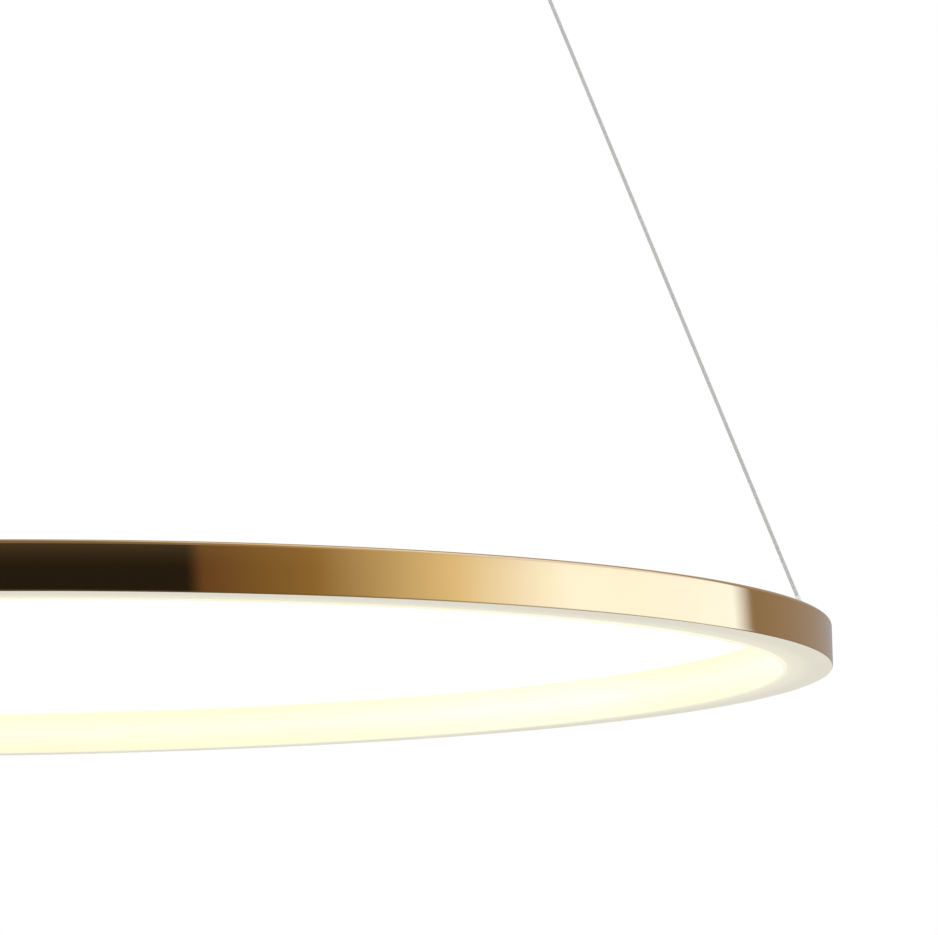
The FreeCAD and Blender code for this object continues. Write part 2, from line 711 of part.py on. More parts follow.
# ---------------------------------------------------------------- cable grippers
def gripper_body(index):
    """Threaded gripper: guide bore, collar room, lock cone that narrows downwards, spring room, cap."""
    # Heights are measured from the neck's lower end.
    seat_face = "(neck_length + cover_wall)"
    room_top = "(shoulder_height + collar_room)"
    cone_top = f"({room_top} + lock_cone_height)"
    cap_under = f"({seat_face} + gripper_height - gripper_cap)"
    top = f"({seat_face} + gripper_height)"
    guide = "(plunger_radius + fit_clearance)"
    body = turned_body(f"gripper_{index}", [
        (guide, "0"),
        ("neck_radius", "0"),
        ("neck_radius", seat_face),
        ("gripper_radius", seat_face),
        ("gripper_radius", top),
        ("plunger_bore", top),
        ("plunger_bore", cap_under),
        ("lock_cone_high", cap_under),
        ("lock_cone_high", cone_top),
        ("lock_cone_low", room_top),
        ("collar_room_radius", room_top),
        ("collar_room_radius", "shoulder_height"),
        (guide, "shoulder_height"),
    ])
    round_rims(body, "min(gripper_cap; gripper_radius - neck_radius) * 0.5", [("gripper_radius", top)])
    seat(body, "exit_radius", cable_azimuth(index), NECK_END)
    node(body, f"gripper_body_{index}")


def gripper_nuts():
    nuts = []
    for index in CABLES:
        nut = turned_body(f"gripper_nut_{index}", [
            ("neck_radius", "0"),
            ("gripper_nut_radius", "0"),
            ("gripper_nut_radius", "gripper_nut_height"),
            ("neck_radius", "gripper_nut_height"),
        ])
        round_rims(nut, "gripper_nut_height * 0.15", [("gripper_nut_radius", "0")])
        seat(nut, "exit_radius", cable_azimuth(index), f"{COVER_BOTTOM} - gripper_nut_height")
        nuts.append(nut)
    node(group("gripper_nut_group", nuts), "gripper_nuts")


def release_plunger(index):
    """Nozzle that is pushed up to free the cable: belled mouth, stop collar and ball cage."""
    # Heights are measured from the nozzle's end.
    collar = "(plunger_stickout + shoulder_height)"
    collar_top = f"({collar} + plunger_collar_height)"
    tube = turned_body(f"plunger_{index}_tube", [
        ("plunger_mouth_radius", "0"),
        ("plunger_radius", "0"),
        ("plunger_radius", collar),
        ("plunger_collar_radius", collar),
        ("plunger_collar_radius", collar_top),
        ("cage_radius", collar_top),
        ("cage_radius", f"{collar_top} + cage_height"),
        ("plunger_bore", f"{collar_top} + cage_height"),
        ("plunger_bore", "plunger_mouth_depth"),
    ])
    windows = []
    for turn in range(3):
        window = document.addObject("Part::Cylinder", f"plunger_{index}_window_{turn + 1}")
        bind(window, Radius="lock_ball_radius + fit_clearance", Height="cage_radius + 1")
        facing = Rotation(Vector(0, 0, 1), 120 * turn) * Rotation(Vector(0, 1, 0), 90)
        window.Placement = Placement(Vector(), facing)
        bind(window, Placement__Base__z=f"{collar_top} + lock_ball_height")
        windows.append(window)
    plunger = cut_away(f"plunger_{index}", tube, windows)
    seat(plunger, "exit_radius", cable_azimuth(index), NOZZLE_END)
    node(plunger, f"release_plunger_{index}")


def locking_balls(index):
    """Three hard balls in the plunger's windows, resting against the cable."""
    balls = []
    for turn in range(3):
        ball = document.addObject("Part::Sphere", f"lock_ball_{index}_{turn + 1}")
        bind(ball, Radius="lock_ball_radius")
        seat(ball, f"{CABLE_BORE} + lock_ball_radius", f"{120 * turn}", "0")
        balls.append(ball)
    cluster = group(f"lock_ball_{index}_group", balls)
    seat(cluster, "exit_radius", cable_azimuth(index), f"{COLLAR_TOP} + lock_ball_height")
    node(cluster, f"locking_balls_{index}")


def plunger_spring(index):
    """Open-coiled spring between the ball cage and the gripper's cap, its turns in quarter arcs."""
    wire = value("spring_wire_radius")
    mean = value("spring_radius")
    low = value(CAGE_TOP) + wire
    high = value(CAP_UNDERSIDE) - wire
    turns = value("spring_turns")
    rise = (high - low) / turns
    quarters = int(round(turns * 4))

    def point(quarter):
        angle = math.pi / 2 * quarter
        return Vector(mean * math.cos(angle), mean * math.sin(angle), low + rise * quarter / 4)

    arcs = [Part.Arc(point(q), point(q + 0.5), point(q + 1)).toShape() for q in range(quarters)]
    path = Part.Wire(arcs)
    coil = piped(path, wire, point(0), Vector(0, 2 * math.pi * mean, rise))
    coil.translate(Vector(value("exit_radius"), 0, 0))
    coil.rotate(Vector(), Vector(0, 0, 1), value(cable_azimuth(index)))
    free_shape(f"plunger_spring_{index}", coil)
    return rise - 2 * wire


def cables(index):
    """The upright end inside the gripper and canopy, and the straight slanting run down to the ring."""
    top = f"({GRIPPER_TOP} + stop_length + cable_end_length)"
    tail = cylinder(f"cable_tail_{index}_wire", "cable_radius", f"{top} - {BEND_HEIGHT}")
    seat(tail, "exit_radius", cable_azimuth(index), BEND_HEIGHT)
    node(tail, f"cable_tail_{index}")

    # A long leaning cylinder, cut level at the nozzle and level again inside the ball.
    low = f"({PIVOT_HEIGHT} - ball_radius / 2)"
    drop = f"({BEND_HEIGHT} - {low})"
    leaning = document.addObject("Part::Cylinder", f"cable_run_{index}")
    bind(leaning, Radius="cable_radius", Height=f"{drop} / cos({CABLE_TILT}) + 40")
    leaning.Placement = Placement(Vector(), Rotation(Vector(0, 1, 0), -value(CABLE_TILT)))
    bind(leaning, Placement__Base__x=f"exit_radius + ({drop} + 20) * tan({CABLE_TILT})")
    bind(leaning, Placement__Base__z=f"{low} - 20")
    span = box(f"cable_span_{index}", f"2 * {CABLE_RUN}", "10 * cable_radius", drop,
               x=f"exit_radius + {CABLE_RUN} / 2", z=low)
    run = document.addObject("Part::Common", f"cable_slant_{index}")
    run.Base = leaning
    run.Tool = span
    seat(run, azimuth=cable_azimuth(index))
    node(run, f"suspension_cable_{index}")


def cable_stops():
    """Crimped sleeve on each cable's upper end: it rests on the gripper when the ring is fully lowered."""
    stops = []
    for index in CABLES:
        stop = turned_body(f"cable_stop_{index}", [
            (CABLE_BORE, "0"),
            ("stop_radius", "0"),
            ("stop_radius", "stop_length"),
            (CABLE_BORE, "stop_length"),
        ])
        seat(stop, "exit_radius", cable_azimuth(index), GRIPPER_TOP)
        stops.append(stop)
    node(group("cable_stop_group", stops), "cable_stops")


# ---------------------------------------------------------------- driver and wiring
def led_driver():
    """Constant-voltage supply in a moulded case, with a screw ear at each end."""
    case = box("driver_case", "driver_width", DRIVER_LENGTH, "driver_height", z="-driver_height")
    ears = box("driver_ears", "driver_width * 0.5", f"{DRIVER_LENGTH} + 2 * driver_ear",
               "driver_ear_thickness", z="-driver_ear_thickness")
    document.recompute()
    rounded = document.addObject("Part::Fillet", "driver_case_rounded")
    rounded.Base = case
    edge_radius = value("min(driver_edge_radius; driver_width / 4; driver_height / 4)")
    low = case.Shape.BoundBox.ZMin
    bottom_edges = [i for i, edge in enumerate(case.Shape.Edges, 1) if edge.BoundBox.ZMax < low + 1e-6]
    rounded.Edges = [(edge, edge_radius, edge_radius) for edge in bottom_edges]
    blank = joined("driver_blank", [rounded, ears])
    holes = [
        cylinder(f"driver_ear_hole_{side}", "small_screw_radius + fit_clearance", "3 * driver_ear_thickness",
                 y=f"{sign}{DRIVER_EAR_PLACE}", z="-2 * driver_ear_thickness")
        for side, sign in (("a", ""), ("b", "-"))
    ]
    driver = cut_away("driver", blank, holes)
    seat(driver, DRIVER_OFFSET, DRIVER_AZIMUTH, PLATE_UNDERSIDE)
    node(driver, "led_driver")

    screws = []
    for name, radius, azimuth in small_screw_places():
        if name.startswith("driver"):
            screws.append(small_screw(name, radius, azimuth, f"{PLATE_UNDERSIDE} - driver_ear_thickness"))
        else:
            node(small_screw(name, radius, azimuth, PLATE_UNDERSIDE), name)
    node(group("driver_screw_group", screws), "driver_screws")


def terminal_block():
    """Two-pole screw terminal for the supply wires, with a port on each long side for each pole."""
    case = box("block_case", "block_width", "block_length", "block_height", z="-block_height")
    ports = []
    screws = []
    for side, sign in (("a", ""), ("b", "-")):
        port = cylinder(f"block_port_{side}", "block_port_radius", "block_width + 2")
        port.Placement = Placement(Vector(), Rotation(Vector(0, 1, 0), 90))
        bind(port, Placement__Base__x="-block_width / 2 - 1", Placement__Base__y=f"{sign}block_length / 4")
        bind(port, Placement__Base__z="-block_height * 0.35")
        well = cylinder(f"block_well_{side}", "block_screw_radius + fit_clearance", "block_height * 0.4",
                        y=f"{sign}block_length / 4", z="-block_height")
        ports += [port, well]
        head = cylinder(f"block_screw_{side}_head", "block_screw_radius", "block_height * 0.3",
                        y=f"{sign}block_length / 4", z="-block_height * 0.9")
        slot = box(f"block_screw_{side}_slot", "3 * block_screw_radius", "block_screw_radius * 0.3",
                   "block_height * 0.08", y=f"{sign}block_length / 4", z="-block_height * 0.9")
        screws.append(cut_away(f"block_screw_{side}", head, [slot]))
    block = cut_away("block", case, ports)
    seat(block, BLOCK_OFFSET, BLOCK_AZIMUTH, PLATE_UNDERSIDE)
    node(block, "terminal_block")
    pair = group("block_screw_pair", screws)
    seat(pair, BLOCK_OFFSET, BLOCK_AZIMUTH, PLATE_UNDERSIDE)
    node(pair, "terminal_screws")


def canopy_leads():
    """Supply leads from the terminal block to the driver, and output leads from it to two cable stops."""
    radius = value("lead_radius")
    driver_turn = math.radians(value(DRIVER_AZIMUTH))
    block_turn = math.radians(value(BLOCK_AZIMUTH))
    level = -value("lead_level")
    turn_level = level - value("lead_dip")
    run = value("lead_run")
    bend_inset = value("supply_bend_inset")
    end = value(DRIVER_LENGTH) / 2
    offset = value(DRIVER_OFFSET)

    def by_driver(outwards, along, height):
        x = outwards * math.cos(driver_turn) - along * math.sin(driver_turn)
        y = outwards * math.sin(driver_turn) + along * math.cos(driver_turn)
        return Vector(x, y, height)

    def by_block(outwards, along, height):
        x = outwards * math.cos(block_turn) - along * math.sin(block_turn)
        y = outwards * math.sin(block_turn) + along * math.cos(block_turn)
        return Vector(x, y, height)

    supply = []
    output = []
    port_level = value(f"{PLATE_UNDERSIDE} - block_height * 0.35")
    port_side = value(f"{BLOCK_OFFSET} - block_width / 2")
    for sign in (1, -1):
        port = sign * value("block_length") / 4
        beside = offset + sign * value("lead_gap") / 2
        points = [
            by_block(port_side + value("port_lead_depth"), port, port_level),
            by_block(port_side - run, port, port_level),
            by_block(port_side - bend_inset, port - value("supply_bend_shift"), turn_level),
            by_driver(beside - bend_inset, end + 2 * run, level),
            by_driver(beside, end + run, level),
            by_driver(beside, end, level),
        ]
        supply.append(piped(rounded_path(points), radius, points[0], points[1] - points[0]))

    # One output lead leaves the driver's end and goes round its corner, the other leaves its inner side.
    inner_side = offset - value("driver_width") / 2
    output_routes = (
        (1, [by_driver(offset, -end, level), by_driver(offset, -end - run, level),
             by_driver(inner_side - value("output_corner_inset"), -end - value("output_corner_run"),
                       turn_level)]),
        (2, [by_driver(inner_side, 0, level), by_driver(inner_side - value("output_run"), 0, level)]),
    )
    out = value("exit_radius")
    stop_height = value(f"{GRIPPER_TOP} + stop_length * 0.5")
    reach = value("stop_radius") + value("lead_joint_gap")
    for index, points in output_routes:
        turn = math.radians(value(cable_azimuth(index)))
        centre = Vector(out * math.cos(turn), out * math.sin(turn), stop_height)
        away = Vector(points[-1].x - centre.x, points[-1].y - centre.y, 0).normalize()
        points = points + [centre + away * (reach + value("stop_approach")), centre + away * reach]
        output.append(piped(rounded_path(points), radius, points[0], points[1] - points[0]))
    free_shape("supply_leads", Part.makeCompound(supply))
    free_shape("output_leads", Part.makeCompound(output))


# ---------------------------------------------------------------- building and writing
def build():
    outer_band()
    ring_housing()
    diffuser()
    light_strip()
    anchor_fittings()
    ring_leads()
    ceiling_plate()
    canopy_cover()
    gripper_nuts()
    cable_stops()
    led_driver()
    terminal_block()
    canopy_leads()
    for index in CABLES:
        cable_anchor(index)
        cable_end(index)
        gripper_body(index)
        release_plunger(index)
        locking_balls(index)
        cables(index)
        spring_gap = plunger_spring(index)
    document.recompute()
    print(f"least gap between the spring's turns {spring_gap:.2f}")


def write():
    for item in document.Objects:
        if "Invalid" in item.State or "Error" in item.State:
            raise RuntimeError(f"{item.Name} is {item.State}")
    for item in nodes:
        if item.Shape.isNull() or not item.Shape.isValid():
            raise RuntimeError(f"{item.Label} has no valid shape")
    os.makedirs("parts", exist_ok=True)
    for item in nodes:
        item.Shape.exportStep(f"parts/{item.Label}.step")
        box_now = item.Shape.BoundBox
        print(f"{item.Label:22s} solids {len(item.Shape.Solids):3d}  volume {item.Shape.Volume:10.1f}  "
              f"z {box_now.ZMin:9.2f} {box_now.ZMax:9.2f}")
    print(len(nodes), "nodes")


build()
write()
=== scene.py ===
import math
import bmesh
import bpy
from mathutils import Matrix, Vector


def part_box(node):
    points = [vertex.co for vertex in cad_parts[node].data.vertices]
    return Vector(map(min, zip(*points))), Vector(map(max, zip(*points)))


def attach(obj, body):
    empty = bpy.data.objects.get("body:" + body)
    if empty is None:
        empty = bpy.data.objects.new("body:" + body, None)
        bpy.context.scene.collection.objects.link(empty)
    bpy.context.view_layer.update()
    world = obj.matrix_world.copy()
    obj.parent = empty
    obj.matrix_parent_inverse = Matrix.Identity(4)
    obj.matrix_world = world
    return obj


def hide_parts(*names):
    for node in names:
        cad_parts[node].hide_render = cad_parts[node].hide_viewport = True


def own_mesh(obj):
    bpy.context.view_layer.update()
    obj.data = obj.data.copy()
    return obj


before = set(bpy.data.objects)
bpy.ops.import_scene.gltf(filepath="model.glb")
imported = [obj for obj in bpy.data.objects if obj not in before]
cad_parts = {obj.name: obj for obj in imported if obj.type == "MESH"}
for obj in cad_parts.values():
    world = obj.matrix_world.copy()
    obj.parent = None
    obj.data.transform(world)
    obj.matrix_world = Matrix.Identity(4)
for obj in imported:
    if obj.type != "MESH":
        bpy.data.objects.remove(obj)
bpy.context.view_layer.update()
bpy.ops.object.select_all(action="DESELECT")

# Light ring hung from a round ceiling canopy by three thin cables.
# Metres. The origin is the centre of the ceiling face, +Z up.

# ---------------------------------------------------------------- places and sizes
MM = 0.001
CABLES = (1, 2, 3)
RING_STEPS = 720                # sides of the round pieces
COVER_STEPS = 256
FITTING_STEPS = 64
BALL_STEPS = 40

band_low, band_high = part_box("outer_band")
RING_RADIUS = band_high.x
RING_BOTTOM = band_low.z
RING_TOP = band_high.z
RING_WIDTH = 26 * MM
BAND_THICKNESS = 1.8 * MM
BAND_EDGE_DEPTH = 1.7 * MM      # the rolled upper edge, across the band
BAND_EDGE_RISE = 1.9 * MM
BAND_LIP = 0.4 * MM             # thin lower edge round the channel's flange
BAND_LIP_DEPTH = 0.34 * MM      # the lip's rolled edge, across it
BAND_LIP_RISE = 1.6 * MM
CHANNEL_WALL = 1.2 * MM
DIFFUSER_THICKNESS = 2.0 * MM
DIFFUSER_EDGE_RADIUS = 0.7 * MM
DIFFUSER_BACK_RADIUS = 0.3 * MM
RIM_ABOVE = 1.5 * MM            # how far the opal stands proud of the channel's flanges
RIM_BELOW = 0.6 * MM
CLIP_LEG_DEPTH = 2.5 * MM
CLIP_LEG_THICKNESS = 1.0 * MM
CHANNEL_EASING = 0.25 * MM      # the flanges' edges beside the opal
PAINTED_GLOW_WIDTH = 16 * MM           # how far the painted glow reaches over the paint beside the opal

CABLE_RADIUS = 1.0 * MM
JACKET_WALL = 0.17 * MM
CORE_RADIUS = CABLE_RADIUS - JACKET_WALL
FIRST_AZIMUTH = -15
EXIT_RADIUS = 40 * MM           # canopy axis to each nozzle
PIVOT_RADIUS = RING_RADIUS - 11 * MM
PIVOT_HEIGHT = RING_TOP - 2.5 * MM
BEND_HEIGHT = -60 * MM          # where each cable leaves its nozzle
CABLE_RUN = PIVOT_RADIUS - EXIT_RADIUS
CABLE_DROP = BEND_HEIGHT - PIVOT_HEIGHT
CABLE_LENGTH = math.hypot(CABLE_RUN, CABLE_DROP)
CABLE_TILT = math.atan2(CABLE_RUN, CABLE_DROP)

BALL_RADIUS = 3.6 * MM
NECK_SLEEVE_RADIUS = 1.3 * MM
NECK_SLEEVE_LENGTH = 15.0 * MM
CRIMP_PLACES = (8.6 * MM, 11.0 * MM)
CRIMP_DEPTH = 0.16 * MM
CRIMP_HALF_WIDTH = 0.9 * MM
CRIMP_HALF_FLAT = 0.6 * MM
BUSH_LENGTH = 8.7 * MM          # below the ring's top
BUSH_SHANK_RADIUS = 4.5 * MM
BUSH_HEAD_RADIUS = 5.5 * MM
BUSH_HEAD_UNDER = 0.3 * MM      # above the ring's top, by the washer's thickness
BUSH_HEAD_TOP = 0.9 * MM
BALL_SEAT_RADIUS = 3.65 * MM
MOUTH_RADIUS = 3.175 * MM
MOUTH_HEIGHT = -0.7 * MM
FLARE_RADIUS = 4.5 * MM
DRIVER_SLOT_WIDTH = 1.3 * MM
DRIVER_SLOT_DEPTH = 0.4 * MM
SLEEVE_HOLE_RADIUS = 5.05 * MM

cover_low, cover_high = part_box("canopy_cover")
COVER_RADIUS = cover_high.x
COVER_BOTTOM = cover_low.z
COVER_TOP = cover_high.z
COVER_WALL = 1.2 * MM
COVER_EDGE_RADIUS = 3.0 * MM
COVER_RIM_RADIUS = 0.25 * MM
EXIT_HOLE_RADIUS = 5.05 * MM
SIDE_SCREW_HEIGHT = -8 * MM
SIDE_HOLE_RADIUS = 2.2 * MM
SIDE_SCREW_RADIUS = 2.0 * MM
SIDE_SCREW_LENGTH = 4.5 * MM
THUMB_HEAD_RADIUS = 4.5 * MM
THUMB_HEAD_LENGTH = 5.0 * MM
THREAD_PITCH = 0.8 * MM
THREAD_DEPTH = 0.3 * MM
THREAD_CREST_END = 0.2          # shares of the pitch
THREAD_ROOT_START = 0.5
THREAD_ROOT_END = 0.7
GRIPPER_NECK_RADIUS = 5.0 * MM
GRIPPER_NECK_LENGTH = 9.2 * MM  # up to the inside of the cover's floor
GRIPPER_RADIUS = 7.0 * MM
GRIPPER_HEIGHT = 31.2 * MM
GRIPPER_GUIDE_RADIUS = 3.3 * MM
GRIPPER_GUIDE_TOP = 6.0 * MM
COLLAR_ROOM_RADIUS = 4.5 * MM   # where the nozzle's collar slides
WEDGE_LOW = 10.5 * MM           # the cone that wedges the balls
WEDGE_HIGH = 16.5 * MM
WEDGE_LOW_RADIUS = 2.75 * MM
WEDGE_HIGH_RADIUS = 3.6 * MM
GRIPPER_CAP = 1.5 * MM
GRIPPER_CAP_BORE = 1.3 * MM
SPRING_WIRE_RADIUS = 0.25 * MM
SPRING_RADIUS = 2.1 * MM
SPRING_TURNS = 6
GRIPPER_NUT_RADIUS = 9.0 * MM
GRIPPER_NUT_HEIGHT = 4.0 * MM


def azimuth(index):
    """Azimuth of a cable, in radians from +X."""
    return math.radians(FIRST_AZIMUTH + 120 * (index - 1))


def between(index):
    """Halfway between one cable and the next."""
    return azimuth(index) + math.radians(60)


def place_at(radius, turn, height=0.0):
    """A place at a distance from the light's axis, in a direction round it."""
    return Vector((radius * math.cos(turn), radius * math.sin(turn), height))


def leaning(index):
    """The turn that leans an upright piece along a cable."""
    lean = Matrix.Rotation(azimuth(index), 3, "Z") @ Matrix.Rotation(-CABLE_TILT, 3, "Y")
    return lean.to_euler()


# ---------------------------------------------------------------- modelling helpers
def select_only(piece):
    bpy.ops.object.select_all(action="DESELECT")
    piece.select_set(True)
    bpy.context.view_layer.objects.active = piece


def edit(piece):
    select_only(piece)
    bpy.ops.object.mode_set(mode="EDIT")


def leave_edit():
    bpy.ops.object.mode_set(mode="OBJECT")


def pick(piece, kind, test):
    """Selects only the edges or faces whose middle passes the test, in edit mode."""
    bpy.ops.mesh.select_mode(type=kind)
    bpy.ops.mesh.select_all(action="DESELECT")
    form = bmesh.from_edit_mesh(piece.data)
    for item in form.edges if kind == "EDGE" else form.faces:
        middle = sum((corner.co for corner in item.verts), Vector()) / len(item.verts)
        if test(middle, item):
            item.select = True
    form.select_flush_mode()
    bmesh.update_edit_mesh(piece.data)


def turned(name, section, steps, closed=True):
    """A round piece: a circle extruded step by step through a section of (radius, height) points."""
    radius, height = section[0]
    bpy.ops.mesh.primitive_circle_add(vertices=steps, radius=radius, fill_type="NOTHING",
                                      location=(0, 0, height))
    piece = bpy.context.object
    piece.name = name
    bpy.ops.object.transform_apply(location=True, rotation=True, scale=True)
    edit(piece)
    bpy.ops.mesh.select_all(action="SELECT")
    for next_radius, next_height in section[1:] + (section[:1] if closed else []):
        bpy.ops.mesh.extrude_edges_move(
            TRANSFORM_OT_translate={"value": (0, 0, next_height - height)})
        spread = next_radius / radius
        bpy.ops.transform.resize(value=(spread, spread, 1), center_override=(0, 0, next_height))
        radius, height = next_radius, next_height
    bpy.ops.mesh.select_all(action="SELECT")
    bpy.ops.mesh.remove_doubles(threshold=1e-6)
    bpy.ops.mesh.normals_make_consistent(inside=False)
    leave_edit()
    return piece


def arc(radius, height, bend, start, end, steps, rise=None):
    """Section points round a corner: bend is the arc's radius, or its width where its rise differs.

    Start and end are degrees from outwards.
    """
    turns = [math.radians(start + (end - start) * step / steps) for step in range(steps + 1)]
    rise = rise or bend
    return [(radius + bend * math.cos(turn), height + rise * math.sin(turn)) for turn in turns]


def close_ends(piece):
    """Closes the open rims of a piece, each with one face."""
    edit(piece)
    pick(piece, "EDGE", lambda middle, item: item.is_boundary)
    bpy.ops.mesh.fill_holes(sides=0)
    bpy.ops.mesh.select_all(action="SELECT")
    bpy.ops.mesh.normals_make_consistent(inside=False)
    leave_edit()


def knurl(piece, radius, low, high, facets, depth):
    """Presses every other facet of an upright rim inwards, for the fingers."""
    def every_other(middle, item):
        facet = int(math.atan2(middle.y, middle.x) * facets / (2 * math.pi) + facets)
        on_rim = math.hypot(middle.x, middle.y) > radius * 0.99
        return facet % 2 == 0 and low < middle.z < high and on_rim

    edit(piece)
    pick(piece, "FACE", every_other)
    bpy.ops.mesh.inset(thickness=depth / 2, depth=-depth, use_individual=True)
    leave_edit()


def apply_modifiers(piece):
    select_only(piece)
    for modifier in list(piece.modifiers):
        bpy.ops.object.modifier_apply(modifier=modifier.name)


def cut_out(piece, tool):
    """Cuts a tool's shape out of a piece, and clears the tool away."""
    cut = piece.modifiers.new("cut", "BOOLEAN")
    cut.operation = "DIFFERENCE"
    cut.solver = "EXACT"
    cut.object = tool
    apply_modifiers(piece)
    bpy.data.objects.remove(tool)


def wind(piece, turns, rise, steps):
    """Winds a wire's section up round the Z axis."""
    screw = piece.modifiers.new("wind", "SCREW")
    screw.axis = "Z"
    screw.angle = 2 * math.pi * turns
    screw.screw_offset = rise
    screw.steps = steps
    screw.render_steps = steps
    apply_modifiers(piece)


def drill(piece, places, radius, depth, turn=None):
    """Round holes through a piece: each place is the middle of a hole, and turn gives its lean there."""
    drills = []
    for place in places:
        bpy.ops.mesh.primitive_cylinder_add(vertices=FITTING_STEPS, radius=radius, depth=depth,
                                            location=place)
        tool = bpy.context.object
        if turn:
            tool.rotation_euler = turn(place)
        drills.append(tool)
    for tool in drills:
        cut_out(piece, tool)


def lay(piece, turn=(0, 0, 0), place=(0, 0, 0)):
    """Turns and places a piece that was modelled upright at the origin, and applies both."""
    select_only(piece)
    piece.rotation_euler = turn
    piece.location = place
    bpy.ops.object.transform_apply(location=True, rotation=True, scale=True)
    return piece


def copy_of(piece, name):
    twin = piece.copy()
    twin.data = piece.data.copy()
    twin.name = name
    bpy.context.scene.collection.objects.link(twin)
    return twin


def join(pieces, name):
    bpy.ops.object.select_all(action="DESELECT")
    for piece in pieces:
        piece.select_set(True)
    bpy.context.view_layer.objects.active = pieces[0]
    bpy.ops.object.join()
    whole = bpy.context.object
    whole.name = name
    return whole


def finish_piece(piece, material, body, node, angle=30):
    """Shades, dresses and mounts a piece, in place of the CAD node that it stands for."""
    select_only(piece)
    bpy.ops.object.shade_smooth_by_angle(angle=math.radians(angle))
    piece.data.materials.clear()
    piece.data.materials.append(material)
    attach(piece, body)
    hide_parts(node)
    piece.select_set(False)


# ---------------------------------------------------------------- shader groups
def new_group(name, inputs, outputs):
    """A shader node group with its sockets, and its first and last nodes."""
    group = bpy.data.node_groups.new(name, "ShaderNodeTree")
    for label, kind, default in inputs:
        socket = group.interface.new_socket(name=label, in_out="INPUT", socket_type=kind)
        if default is not None:
            socket.default_value = default
    for label, kind in outputs:
        group.interface.new_socket(name=label, in_out="OUTPUT", socket_type=kind)
    return group, group.nodes.new("NodeGroupInput"), group.nodes.new("NodeGroupOutput")


def add(tree, kind, **settings):
    node = tree.nodes.new(kind)
    for key, setting in settings.items():
        setattr(node, key, setting)
    return node


def math_node(tree, operation, first, second=None):
    node = add(tree, "ShaderNodeMath", operation=operation)
    for place, given in enumerate((first, second)):
        if given is None:
            continue
        if isinstance(given, (int, float)):
            node.inputs[place].default_value = given
        else:
            tree.links.new(given, node.inputs[place])
    return node.outputs[0]


def colour_ramp(tree, share, stops, interpolation="LINEAR"):
    """Colours blended one into the next, over a share from 0 to 1."""
    node = add(tree, "ShaderNodeValToRGB")
    ramp = node.color_ramp
    ramp.interpolation = interpolation
    for place, (position, colour) in enumerate(stops):
        stop = ramp.elements[place] if place < 2 else ramp.elements.new(position)
        stop.position = position
        stop.color = (*colour, 1)
    tree.links.new(share, node.inputs["Fac"])
    return node.outputs["Color"]


def mottle_group():
    """Two tones and a range of roughness that wander over a surface at one scale."""
    group, given, out = new_group("mottle", [
        ("Vector", "NodeSocketVector", None),
        ("Scale", "NodeSocketFloat", 100.0),
        ("Tone A", "NodeSocketColor", (0.8, 0.8, 0.8, 1)),
        ("Tone B", "NodeSocketColor", (0.7, 0.7, 0.7, 1)),
        ("Rough Low", "NodeSocketFloat", 0.3),
        ("Rough High", "NodeSocketFloat", 0.5),
    ], [
        ("Color", "NodeSocketColor"),
        ("Roughness", "NodeSocketFloat"),
        ("Height", "NodeSocketFloat"),
    ])
    noise = add(group, "ShaderNodeTexNoise")
    noise.inputs["Detail"].default_value = 5
    noise.inputs["Roughness"].default_value = 0.6
    group.links.new(given.outputs["Vector"], noise.inputs["Vector"])
    group.links.new(given.outputs["Scale"], noise.inputs["Scale"])
    spread = add(group, "ShaderNodeMapRange")
    spread.inputs["From Min"].default_value = 0.3
    spread.inputs["From Max"].default_value = 0.7
    group.links.new(noise.outputs["Fac"], spread.inputs["Value"])
    tones = add(group, "ShaderNodeMix", data_type="RGBA")
    group.links.new(spread.outputs["Result"], tones.inputs["Factor"])
    group.links.new(given.outputs["Tone A"], tones.inputs["A"])
    group.links.new(given.outputs["Tone B"], tones.inputs["B"])
    rough = add(group, "ShaderNodeMapRange")
    group.links.new(spread.outputs["Result"], rough.inputs["Value"])
    group.links.new(given.outputs["Rough Low"], rough.inputs["To Min"])
    group.links.new(given.outputs["Rough High"], rough.inputs["To Max"])
    group.links.new(tones.outputs["Result"], out.inputs["Color"])
    group.links.new(rough.outputs["Result"], out.inputs["Roughness"])
    group.links.new(noise.outputs["Fac"], out.inputs["Height"])
    return group


def drawn_lines_group():
    """Fine lines left by drawing or turning, stretched along the vector's last two axes."""
    group, given, out = new_group("drawn_lines", [
        ("Vector", "NodeSocketVector", None),
        ("Fineness", "NodeSocketFloat", 3000.0),
        ("Strength", "NodeSocketFloat", 1.0),
    ], [("Height", "NodeSocketFloat")])
    stretch = add(group, "ShaderNodeCombineXYZ")
    stretch.inputs["X"].default_value = 1
    stretch.inputs["Y"].default_value = 0.02
    stretch.inputs["Z"].default_value = 0.02
    scaled = add(group, "ShaderNodeVectorMath", operation="MULTIPLY")
    noise = add(group, "ShaderNodeTexNoise")
    noise.inputs["Detail"].default_value = 3
    group.links.new(given.outputs["Vector"], scaled.inputs[0])
    group.links.new(stretch.outputs["Vector"], scaled.inputs[1])
    group.links.new(scaled.outputs["Vector"], noise.inputs["Vector"])
    group.links.new(given.outputs["Fineness"], noise.inputs["Scale"])
    height = math_node(group, "MULTIPLY", noise.outputs["Fac"], given.outputs["Strength"])
    group.links.new(height, out.inputs["Height"])
    return group


